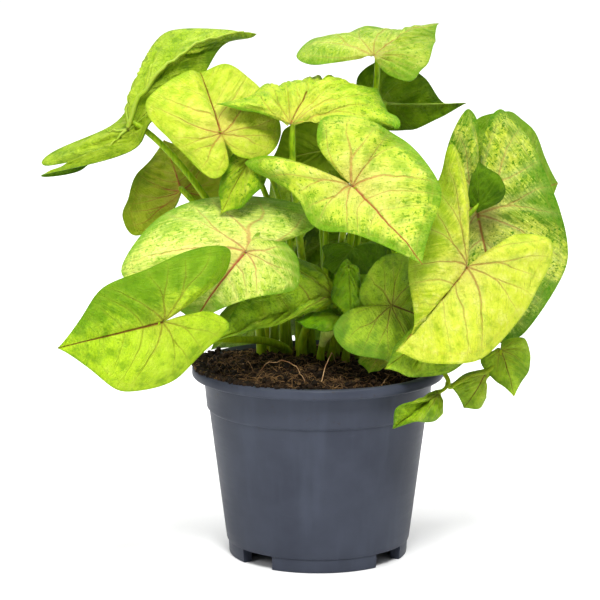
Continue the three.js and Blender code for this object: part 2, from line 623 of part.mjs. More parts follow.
function soil() {
  const wallAt = (z) => {
    const t = (z - BODY_FOOT_Z - POT_FLOOR) / (BAND_FOOT_Z - 1.2 - BODY_FOOT_Z - POT_FLOOR);
    return THREE.MathUtils.lerp(BODY_FOOT_RADIUS, BODY_TOP_RADIUS, t) - POT_WALL - SOIL_GAP;
  };
  const floor = BODY_FOOT_Z + POT_FLOOR + SOIL_GAP;
  const shoulder = BAND_FOOT_Z - 1.2;
  const rimRadius = BAND_TOP_RADIUS - POT_WALL - SOIL_GAP;
  const loops = [[wallAt(floor), floor], [wallAt(shoulder), shoulder], [rimRadius - 0.2, SOIL_EDGE_Z - 1]];
  const points = [new THREE.Vector3(0, 0, floor)];
  const index = [];
  const ring = (radius, z) => {
    for (let s = 0; s < SOIL_SPOKES; s += 1) {
      const turn = s / SOIL_SPOKES * Math.PI * 2;
      const [x, y] = [radius * Math.cos(turn), radius * Math.sin(turn)];
      points.push(new THREE.Vector3(x, y, z ?? soilHeight(x, y)));
    }
  };
  for (const [radius, z] of loops) ring(radius, z);
  for (let j = SOIL_RINGS; j > 0; j -= 1) ring(rimRadius * j / SOIL_RINGS);
  const rows = loops.length + SOIL_RINGS;
  const top = points.push(new THREE.Vector3(0, 0, soilHeight(0, 0))) - 1;
  for (let s = 0; s < SOIL_SPOKES; s += 1) {
    const next = (s + 1) % SOIL_SPOKES;
    index.push(0, 1 + next, 1 + s);
    for (let k = 0; k + 1 < rows; k += 1) {
      const p = 1 + k * SOIL_SPOKES;
      index.push(p + s, p + next, p + SOIL_SPOKES + next, p + s, p + SOIL_SPOKES + next, p + SOIL_SPOKES + s);
    }
    const last = 1 + (rows - 1) * SOIL_SPOKES;
    index.push(last + s, last + next, top);
  }
  let body = solidFrom(points, index);
  const holes = [...LEAVES.map((leaf) => [leaf.foot, STALK[leaf.size].foot]), [RUNNER_FOOT, RUNNER_RADIUS]];
  for (const [[x, y], radius] of holes) {
    const hole = new THREE.CylinderGeometry(radius + HOLE_CLEARANCE, radius + HOLE_CLEARANCE, 40, HOLE_SIDES);
    hole.rotateX(Math.PI / 2);
    hole.translate(x, y, SOIL_EDGE_Z - HOLE_DEPTH - 0.3 + 20);
    body = body.subtract(solidFromGeometry(hole));
  }
  return body;
}

// Stalk path: straight up out of the soil, then over to the back of the blade at the joint.
function stalkPath(leaf) {
  const surface = bladeSurface(leaf);
  const joint = surface([0.05, 0]);
  const midrib = vec(leaf.tip).sub(vec(leaf.sinus)).normalize();
  const across = vec(leaf.right.widest).sub(vec(leaf.left.widest));
  const normal = across.cross(midrib).normalize();
  const foot = new THREE.Vector3(...leaf.foot, SOIL_EDGE_Z - HOLE_DEPTH);
  const ground = new THREE.Vector3(...leaf.foot, SOIL_EDGE_Z + STALK_RISE);
  const reach = joint.distanceTo(ground);
  const bend = leaf.bend?.map(vec) ?? [
    ground.clone().add(new THREE.Vector3(0, 0, reach * 0.45)),
    joint.clone().addScaledVector(normal, -reach * 0.22).addScaledVector(midrib, -reach * 0.1),
  ];
  const curve = new THREE.CubicBezierCurve3(ground, bend[0], bend[1], joint);
  return [foot, ...curve.getPoints(STALK_STEPS - 1)];
}

function leafNode(leaf) {
  const { foot, tip } = STALK[leaf.size];
  const stalk = stalkGeometry(stalkPath(leaf), foot, tip);
  return node(leaf.name, bladeGeometry(leaf).add(stalk), COLOURS[leaf.colour], 0.45);
}

function runner() {
  const path = new THREE.CatmullRomCurve3(RUNNER_PATH.map(vec)).getPoints(13);
  const fork = new THREE.CatmullRomCurve3(RUNNER_FORK.map(vec)).getPoints(3);
  let body = stalkGeometry(path, RUNNER_RADIUS, 0.9).add(stalkGeometry(fork, 0.9, 0.8));
  for (const leaf of RUNNER_LEAVES) body = body.add(bladeGeometry(leaf));
  return body;
}

const object = new THREE.Group();
object.name = 'potted_syngonium';
object.add(node('pot', pot(), COLOURS.pot, 0.42));
object.add(node('soil', soil(), COLOURS.soil, 0.95));
for (const leaf of LEAVES) object.add(leafNode(leaf));
object.add(node('runner', runner(), COLOURS.mid, 0.5));

export default object;
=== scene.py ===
"""Potted syngonium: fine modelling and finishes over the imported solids, and the studio round them."""
import logging
import math
import random
from dataclasses import dataclass, field
from enum import Enum

import bmesh
import bpy
from mathutils import Matrix, Vector, noise


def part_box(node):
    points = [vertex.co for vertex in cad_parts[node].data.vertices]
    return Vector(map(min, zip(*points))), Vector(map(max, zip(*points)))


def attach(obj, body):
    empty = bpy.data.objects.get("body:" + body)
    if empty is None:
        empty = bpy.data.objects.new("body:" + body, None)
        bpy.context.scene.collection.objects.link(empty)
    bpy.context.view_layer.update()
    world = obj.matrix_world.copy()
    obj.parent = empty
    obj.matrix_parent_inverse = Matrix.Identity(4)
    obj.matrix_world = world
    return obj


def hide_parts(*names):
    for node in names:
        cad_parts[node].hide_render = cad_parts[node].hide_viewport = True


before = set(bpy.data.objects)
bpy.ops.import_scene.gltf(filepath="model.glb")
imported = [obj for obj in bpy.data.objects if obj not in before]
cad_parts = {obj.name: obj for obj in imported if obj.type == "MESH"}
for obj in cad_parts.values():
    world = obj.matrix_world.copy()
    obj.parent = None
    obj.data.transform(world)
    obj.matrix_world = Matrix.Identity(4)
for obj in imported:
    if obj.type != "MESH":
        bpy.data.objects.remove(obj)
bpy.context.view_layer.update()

log = logging.getLogger("syngonium")

MM = 0.001
BODY = "root"

# Points of the plant are in millimetres from the pot's axis on the ground, +Z up.
POT_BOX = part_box("pot")
AXIS = Vector(((POT_BOX[0][0] + POT_BOX[1][0]) / 2, (POT_BOX[0][1] + POT_BOX[1][1]) / 2, 0))

Point = tuple[float, float, float]
Flat = tuple[float, float]


def place(point: Vector) -> Vector:
    """Turn millimetres from the pot's axis into the frame's metres."""
    return Vector(point) * MM + AXIS


class Size(Enum):
    """How large a leaf is, with the spokes and rings that its blade is split into."""

    LARGE = (168, 30)
    SMALL = (112, 20)


@dataclass(frozen=True)
class StalkSize:
    """Radii in millimetres of a leaf stalk at the soil and at the blade."""

    foot: float
    tip: float


STALKS = {Size.LARGE: StalkSize(2.1, 1.4), Size.SMALL: StalkSize(1.7, 1.1)}


@dataclass(frozen=True)
class LeafLook:
    """Colours and pattern of one face of a blade. Colours are linear.

    Patches, the greener rim and specks are shares from 0 to 1, and lean puts more green on the left half and,
    below 0, on the right half: the leaf's own second tone on the two-tone look, and painted shade of the half
    turned from the light on the gold look. Streak draws the patches out along the side veins, pale adds
    whitish streaks there, blush is the vein colour round the joint, core is the glow colour in the middle of
    the blade, and mottle is how strongly the puckers show in the colour, as painted shade in their hollows
    and painted highlights on their crowns.
    """

    name: str
    light: Point
    dark: Point
    glow: Point
    vein: Point
    patch: float = 0.1
    patch_strength: float = 0.75
    rim: float = 0.35
    speck: float = 0.4
    half_tone_and_shade: float = 0.0
    vein_strength: float = 0.95
    side_strength: float = 0.6
    halo: float = 0.35
    net: float = 0.12
    streak: float = 0.2
    pale: float = 0.0
    blush: float = 0.45
    core: float = 0.15
    pucker_shade_and_highlight: float = 1.0
    rough: float = 0.42
    gloss: float = 0.22


@dataclass(frozen=True)
class StalkLook:
    """Colours of a stalk, linear, with how much of its foot takes the foot colour: a duller tint of its own
    and painted shade of the crowded stalks near the soil.
    """

    name: str
    light: Point
    dark: Point
    blush: Point
    foot: Point
    foot_tint_and_shade_share: float = 0.6


LIME = LeafLook("lime", (0.5, 0.62, 0.03), (0.13, 0.3, 0.001), (0.68, 0.68, 0.2), (0.42, 0.13, 0.045),
                patch=-0.02, rim=0.95, speck=0.9, streak=0.35, pale=0.15, core=0.55)
YELLOW = LeafLook("yellow", (0.47, 0.59, 0.025), (0.24, 0.4, 0.003), (0.68, 0.67, 0.15), (0.36, 0.1, 0.03),
                  patch=-0.06, rim=0.5, speck=0.45, streak=0.4, core=0.4)
# On the gold look lean is painted shade: it puts dark green on the blade's right half, which turns from the
# light.
GOLD = LeafLook("gold", (0.55, 0.62, 0.035), (0.22, 0.36, 0.003), (0.72, 0.73, 0.22), (0.3, 0.1, 0.03),
                patch=0.0, rim=0.4, speck=0.4, streak=0.5, half_tone_and_shade=-0.9, core=0.25)
FRESH = LeafLook("fresh", (0.43, 0.59, 0.018), (0.12, 0.29, 0.001), (0.6, 0.66, 0.1), (0.4, 0.14, 0.04),
                 patch=0.0, rim=0.9, speck=0.9, side_strength=0.4, streak=0.3, core=0.25)
CREAM = LeafLook("cream", (0.48, 0.62, 0.06), (0.13, 0.31, 0.001), (0.8, 0.82, 0.26), (0.42, 0.1, 0.05),
                 patch=0.18, rim=0.6, speck=0.8, halo=0.6, streak=0.4, pale=0.6, core=0.5)
TWO_TONE = LeafLook("two_tone", (0.38, 0.54, 0.012), (0.1, 0.24, 0.001), (0.5, 0.62, 0.06),
                    (0.15, 0.045, 0.01), patch=0.16, rim=0.3, speck=0.35, half_tone_and_shade=-1.5, side_strength=0.42,
                    streak=0.25)
SPECKLED = LeafLook("speckled", (0.52, 0.59, 0.038), (0.09, 0.24, 0.001), (0.66, 0.68, 0.24),
                    (0.42, 0.2, 0.07), patch=0.22, patch_strength=0.85, rim=0.5, speck=1.0, halo=0.5,
                    net=0.25, streak=0.45, pale=0.3, core=0.3)
MID = LeafLook("mid", (0.33, 0.52, 0.01), (0.08, 0.2, 0.001), (0.54, 0.66, 0.06), (0.2, 0.09, 0.02),
               patch=0.12, rim=0.35, speck=0.4, gloss=0.4)
GLOSSY = LeafLook("glossy", (0.22, 0.47, 0.003), (0.035, 0.13, 0.0005), (0.5, 0.68, 0.03),
                  (0.24, 0.36, 0.03), patch=0.1, rim=0.2, speck=0.2, rough=0.26, gloss=0.5, blush=0.0)
# Darker green for leaves inside the plant and at its back: partly their own colour, partly painted shade of
# the crowded middle.
DEEP_IN_SHADE = LeafLook("deep", (0.14, 0.28, 0.002), (0.045, 0.115, 0.0005), (0.25, 0.4, 0.02), (0.2, 0.32, 0.03),
                patch=0.15, speck=0.2, net=0.3, blush=0.0)
PALE = LeafLook("pale", (0.32, 0.44, 0.02), (0.12, 0.27, 0.002), (0.6, 0.64, 0.15), (0.36, 0.22, 0.05),
                patch=0.2, rim=0.6, speck=0.8, streak=0.45, pale=0.25)

UNDER_LIME = LeafLook("under_lime", (0.3, 0.43, 0.012), (0.11, 0.23, 0.001), (0.48, 0.57, 0.06),
                      (0.38, 0.45, 0.06), pucker_shade_and_highlight=0.6, patch=0.0, rim=0.2, speck=0.15, vein_strength=0.5,
                      side_strength=0.45, rough=0.5, blush=0.0)
UNDER_OLIVE = LeafLook("under_olive", (0.29, 0.42, 0.012), (0.09, 0.2, 0.001), (0.46, 0.55, 0.06),
                       (0.3, 0.4, 0.03), patch=0.12, speck=0.3, vein_strength=0.4, side_strength=0.3, net=0.3,
                       rough=0.45, blush=0.0)
UNDER_PINK = LeafLook("under_pink", (0.4, 0.46, 0.03), (0.2, 0.29, 0.004), (0.52, 0.5, 0.09),
                      (0.4, 0.075, 0.035), patch=0.1, speck=0.2, vein_strength=1.0, side_strength=0.65,
                      rough=0.5)
# Underside of the same leaves: darker green, partly their own colour, partly painted shade of the crowded
# middle.
UNDER_DEEP_IN_SHADE = LeafLook("under_deep", (0.19, 0.31, 0.003), (0.07, 0.15, 0.0005), (0.3, 0.4, 0.02),
                      (0.28, 0.38, 0.04), pucker_shade_and_highlight=0.6, patch=0.1, speck=0.15, vein_strength=0.7,
                      side_strength=0.4, net=0.3, rough=0.42, blush=0.0)

GREEN_STALK = StalkLook("green", (0.31, 0.45, 0.008), (0.15, 0.28, 0.002), (0.38, 0.43, 0.03),
                        (0.24, 0.26, 0.02), foot_tint_and_shade_share=0.45)
PALE_STALK = StalkLook("pale", (0.62, 0.74, 0.16), (0.4, 0.55, 0.07), (0.6, 0.6, 0.25), (0.4, 0.46, 0.14))


# Flat half outline of a blade, from the stalk joint round the lobe to the tip: (along, across).
HALF_OUTLINE = (
    (0, 0), (-0.22, 0.03), (-0.5, 0.12), (-0.62, 0.36), (-0.45, 0.56),
    (0, 0.66), (0.4, 0.52), (0.78, 0.22), (1, 0),
)
POINT_ANGLE = {
    "nearTip": 18, "shoulder": 45, "widest": 90, "flank": 129, "lobe": 150, "inner": 166.5,
}
HUB = 0.14
WAVE_HEIGHT = 0.045
WAVE_RATE = 5
WAVE_SHIFT = {"left": 0, "right": 2}
SOIL_Z = 87
HOLE_DEPTH = 14
STALK_RISE = 7.0

# The veins of the flat blade: side veins leave the midrib every VEIN_PITCH and bend to the tip,
# and behind the joint they spread as a fan.
VEIN_PITCH = 0.19
VEIN_RISE = 0.3
VEIN_BEND = 1.15
FAN_FIRST = math.radians(76)
FAN_STEP = math.radians(33)
FAN_BEND = 0.35


def through(rows: tuple[Flat, ...], t: float) -> Flat:
    """Read a smooth curve through equally spaced rows.

    Args:
        rows: Points that the curve passes.
        t: Place on the curve, from 0 to 1.

    Returns:
        The point at t.
    """
    last = len(rows) - 1
    x = min(max(t, 0) * last, last - 1e-9)
    i = int(x)
    f = x - i

    def slope(k: int, c: int) -> float:
        """Slope of coordinate c at row k."""
        if k == 0:
            return rows[1][c] - rows[0][c]
        if k == last:
            return rows[last][c] - rows[last - 1][c]
        return (rows[k + 1][c] - rows[k - 1][c]) / 2

    return tuple(
        rows[i][c] * (2 * f**3 - 3 * f**2 + 1) + slope(i, c) * (f**3 - 2 * f**2 + f)
        + rows[i + 1][c] * (3 * f**2 - 2 * f**3) + slope(i + 1, c) * (f**3 - f**2)
        for c in (0, 1)
    )


OUTLINE_STEPS = 400
OUTLINE = sorted(
    (math.degrees(math.atan2(b, a)), math.hypot(a, b))
    for a, b in (through(HALF_OUTLINE, 0.05 + 0.95 * i / OUTLINE_STEPS) for i in range(OUTLINE_STEPS + 1))
)


def outline_radius(angle: float) -> float:
    """Radius of the flat outline at an angle in degrees from the midrib.

    Args:
        angle: The angle.

    Returns:
        The radius, in units of the flat outline.
    """
    low = high = OUTLINE[0]
    for entry in OUTLINE:
        high = entry
        if entry[0] >= angle:
            break
        low = entry
    if high[0] <= angle or high is low:
        return high[1]
    return low[1] + (angle - low[0]) / (high[0] - low[0]) * (high[1] - low[1])


OUTLINE_TABLE = [outline_radius(k / 4) for k in range(721)]


def quick_radius(angle: float) -> float:
    """Outline radius at an angle, read between quarter degrees.

    Args:
        angle: The angle in degrees from the midrib.

    Returns:
        The radius, in units of the flat outline.
    """
    x = min(max(angle, 0) * 4, 719.999)
    k = int(x)
    return OUTLINE_TABLE[k] + (x - k) * (OUTLINE_TABLE[k + 1] - OUTLINE_TABLE[k])


@dataclass(frozen=True)
class Leaf:
    """One leaf: where its stalk stands and where the named points of its blade are, in millimetres.

    A turned blade has its underside towards the camera where its points' order would show its upper face.
    """

    name: str
    size: Size
    foot: Flat
    sinus: Point
    tip: Point
    left: dict[str, Point]
    right: dict[str, Point]
    arch: dict[str, float] = field(default_factory=dict)
    bend: tuple[Point, ...] = ()
    turned: bool = False


class Blade:
    """The bent surface of a leaf, from flat blade coordinates to space."""

    def __init__(self, leaf: Leaf) -> None:
        """Read the leaf's named points.

        Args:
            leaf: The leaf.
        """
        self.sinus = Vector(leaf.sinus)
        self.midrib = Vector(leaf.tip) - self.sinus
        to_left = Vector(leaf.left["widest"]) - self.sinus
        to_right = Vector(leaf.right["widest"]) - self.sinus
        self.whole = (to_right - to_left).cross(self.midrib).normalized()
        self.normals = {
            "left": self.midrib.cross(to_left).normalized(),
            "right": to_right.cross(self.midrib).normalized(),
        }
        self.knots = {side: self._knots(getattr(leaf, side)) for side in ("left", "right")}
        self.arch = {"midrib": 0.06, "left": 0.1, "right": 0.1, "leftLobe": 0.08, "rightLobe": 0.08,
                     "wave": WAVE_HEIGHT}
        self.arch.update(leaf.arch)

    def _knots(self, points: dict[str, Point]) -> list[tuple[float, Vector]]:
        """Directions from the joint at the named angles of one side, per unit of flat radius.

        Args:
            points: The side's named points, in millimetres.

        Returns:
            Angles in degrees with their directions, in order.
        """
        knots = {0.0: self.midrib.copy()}
        for key, point in points.items():
            angle = POINT_ANGLE[key]
            knots[angle] = (Vector(point) - self.sinus) / outline_radius(angle)
        if 45 not in knots:
            knots[45] = (knots[0] + knots[90]) * math.sqrt(0.5)
        if 166.5 in knots:
            knots[180] = knots[166.5] + (knots[166.5] - knots[150]) * 0.6
        else:
            knots[180] = (knots[150] - knots[90] * 0.5) / 0.866
        return sorted(knots.items(), key=lambda knot: knot[0])

    @staticmethod
    def _along(knots: list[tuple[float, Vector]], angle: float) -> Vector:
        """Smooth direction at an angle between the knots.

        Args:
            knots: Angles in degrees with their directions.
            angle: The angle to read at, in degrees.

        Returns:
            The direction there.
        """
        i = next((k for k in range(len(knots)) if knots[k][0] > angle), len(knots) - 1) - 1

        def rise(k: int) -> Vector:
            """Mean slope between knots k and k + 1."""
            return (knots[k + 1][1] - knots[k][1]) / (knots[k + 1][0] - knots[k][0])

        def slope(k: int) -> Vector:
            """Slope at knot k."""
            if k == 0:
                return rise(0)
            if k == len(knots) - 1:
                return rise(k - 1)
            before = knots[k][0] - knots[k - 1][0]
            after = knots[k + 1][0] - knots[k][0]
            return (rise(k - 1) * after + rise(k) * before) / (before + after)

        h = knots[i + 1][0] - knots[i][0]
        f = (angle - knots[i][0]) / h
        return (
            knots[i][1] * (2 * f**3 - 3 * f**2 + 1) + slope(i) * (h * (f**3 - 2 * f**2 + f))
            + knots[i + 1][1] * (3 * f**2 - 2 * f**3) + slope(i + 1) * (h * (f**3 - f**2))
        )

    def point(self, along: float, across: float) -> Vector:
        """Bend a point of the flat blade into space.

        Args:
            along: Distance from the joint towards the tip, as a share of the blade's length.
            across: Distance from the midrib, positive to the left.

        Returns:
            The point in millimetres.
        """
        side = "left" if across >= 0 else "right"
        radius = math.hypot(along, across)
        turn = abs(math.atan2(across, along))
        angle = math.degrees(turn)
        forward = math.cos(turn) ** 2
        direction = self._along(self.knots[side], angle)
        edge = max(quick_radius(angle), radius, 1e-6)
        out = radius / edge
        lengthways = self.arch["midrib"] if angle < 90 else self.arch[side + "Lobe"]
        bulge = lengthways * forward + self.arch[side] * (1 - forward)
        normal = (self.whole * forward + self.normals[side] * (1 - forward)).normalized()
        wave = self.arch["wave"] * math.sin(WAVE_RATE * turn + self.sinus.x + WAVE_SHIFT[side])
        lift = bulge * 4 * out * (1 - out) + wave * math.sin(turn) * out**3
        return self.sinus + direction * radius + normal * (lift * edge * direction.length)

    def stalk_path(self, leaf: Leaf, steps: int) -> list[Vector]:
        """Path of the stalk, straight up out of the soil and then over to the blade's back.

        Args:
            leaf: The leaf whose stalk it is.
            steps: Number of points above the soil.

        Returns:
            Points in millimetres from the foot of the hole to the joint.
        """
        joint = self.point(0.05, 0)
        across = Vector(leaf.right["widest"]) - Vector(leaf.left["widest"])
        normal = across.cross(self.midrib).normalized()
        foot = Vector((*leaf.foot, SOIL_Z - HOLE_DEPTH))
        ground = Vector((*leaf.foot, SOIL_Z + STALK_RISE))
        reach = (joint - ground).length
        if leaf.bend:
            one, two = (Vector(p) for p in leaf.bend)
        else:
            one = ground + Vector((0, 0, reach * 0.45))
            two = joint - normal * reach * 0.22 - self.midrib.normalized() * reach * 0.1
        path = [foot]
        for k in range(steps):
            t = k / (steps - 1)
            path.append(
                ground * (1 - t) ** 3 + one * 3 * t * (1 - t) ** 2 + two * 3 * t**2 * (1 - t) + joint * t**3
            )
        return path


def vein_phase(along: float, across: float) -> tuple[float, float]:
    """Where a flat point lies between side veins.

    Args:
        along: Flat coordinate along the midrib.
        across: Flat coordinate across it.

    Returns:
        The phase, whole on a vein, and how far the point is from where the veins meet, 0 to 1.
    """
    side = abs(across)
    rise = along - VEIN_RISE * side - VEIN_BEND * side * side
    if rise >= 0:
        return rise / VEIN_PITCH, min(side / 0.1, 1)
    radius = math.hypot(along, across)
    angle = math.atan2(side, along) + FAN_BEND * radius
    return (angle - FAN_FIRST) / FAN_STEP, min(radius / 0.2, 1)


def tubes(paths: list[list[tuple[Vector, float]]], sides: int) -> bpy.types.Mesh:
    """Round tapering tubes along paths.

    Args:
        paths: For each tube its points in metres, each with a radius in metres.
        sides: Bevel resolution of the round section.

    Returns:
        One mesh with closed ends.
    """
    curve = bpy.data.curves.new("tubes", "CURVE")
    curve.dimensions = "3D"
    curve.bevel_depth = 1.0
    curve.bevel_resolution = sides
    curve.use_fill_caps = True
    for path in paths:
        spline = curve.splines.new("POLY")
        spline.points.add(len(path) - 1)
        for point, (place_at, radius) in zip(spline.points, path):
            point.co = (*place_at, 1)
            point.radius = radius
    holder = bpy.data.objects.new("tubes", curve)
    mesh = bpy.data.meshes.new_from_object(holder)
    bpy.data.objects.remove(holder)
    bpy.data.curves.remove(curve)
    return mesh


def smooth_point(points: tuple[Point, ...], x: float) -> Vector:
    """Read a smooth curve through points.

    Args:
        points: The points that it passes.
        x: Place on the curve, whole at each point.

    Returns:
        The point at x.
    """
    last = len(points) - 1
    i = min(int(x), last - 1)
    before, one, two, after = (Vector(points[min(max(j, 0), last)]) for j in range(i - 1, i + 3))
    t = x - i
    return 0.5 * ((2 * one) + (two - before) * t + (2 * before - 5 * one + 4 * two - after) * t**2
                  + (3 * one - before - 3 * two + after) * t**3)


def mesh_of(bm: bmesh.types.BMesh, name: str, smooth: bool = False) -> bpy.types.Mesh:
    """Turn an edited shape into a mesh and free it.

    Args:
        bm: The shape.
        name: The mesh's name.
        smooth: Whether its faces are shaded smooth.

    Returns:
        The mesh.
    """
    if smooth:
        for face in bm.faces:
            face.smooth = True
    mesh = bpy.data.meshes.new(name)
    bm.to_mesh(mesh)
    bm.free()
    return mesh


def finish_piece(name: str, mesh: bpy.types.Mesh, nodes: tuple[str, ...] = ()) -> bpy.types.Object:
    """Make a mesh a piece of the plant.

    Args:
        name: The piece's name.
        mesh: Its mesh, already in place.
        nodes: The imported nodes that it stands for.

    Returns:
        The piece's object.
    """
    mesh.name = name
    piece = bpy.data.objects.new(name, mesh)
    bpy.context.scene.collection.objects.link(piece)
    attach(piece, BODY)
    if nodes:
        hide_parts(*nodes)
    log.info("%s: %d faces", name, len(mesh.polygons))
    return piece


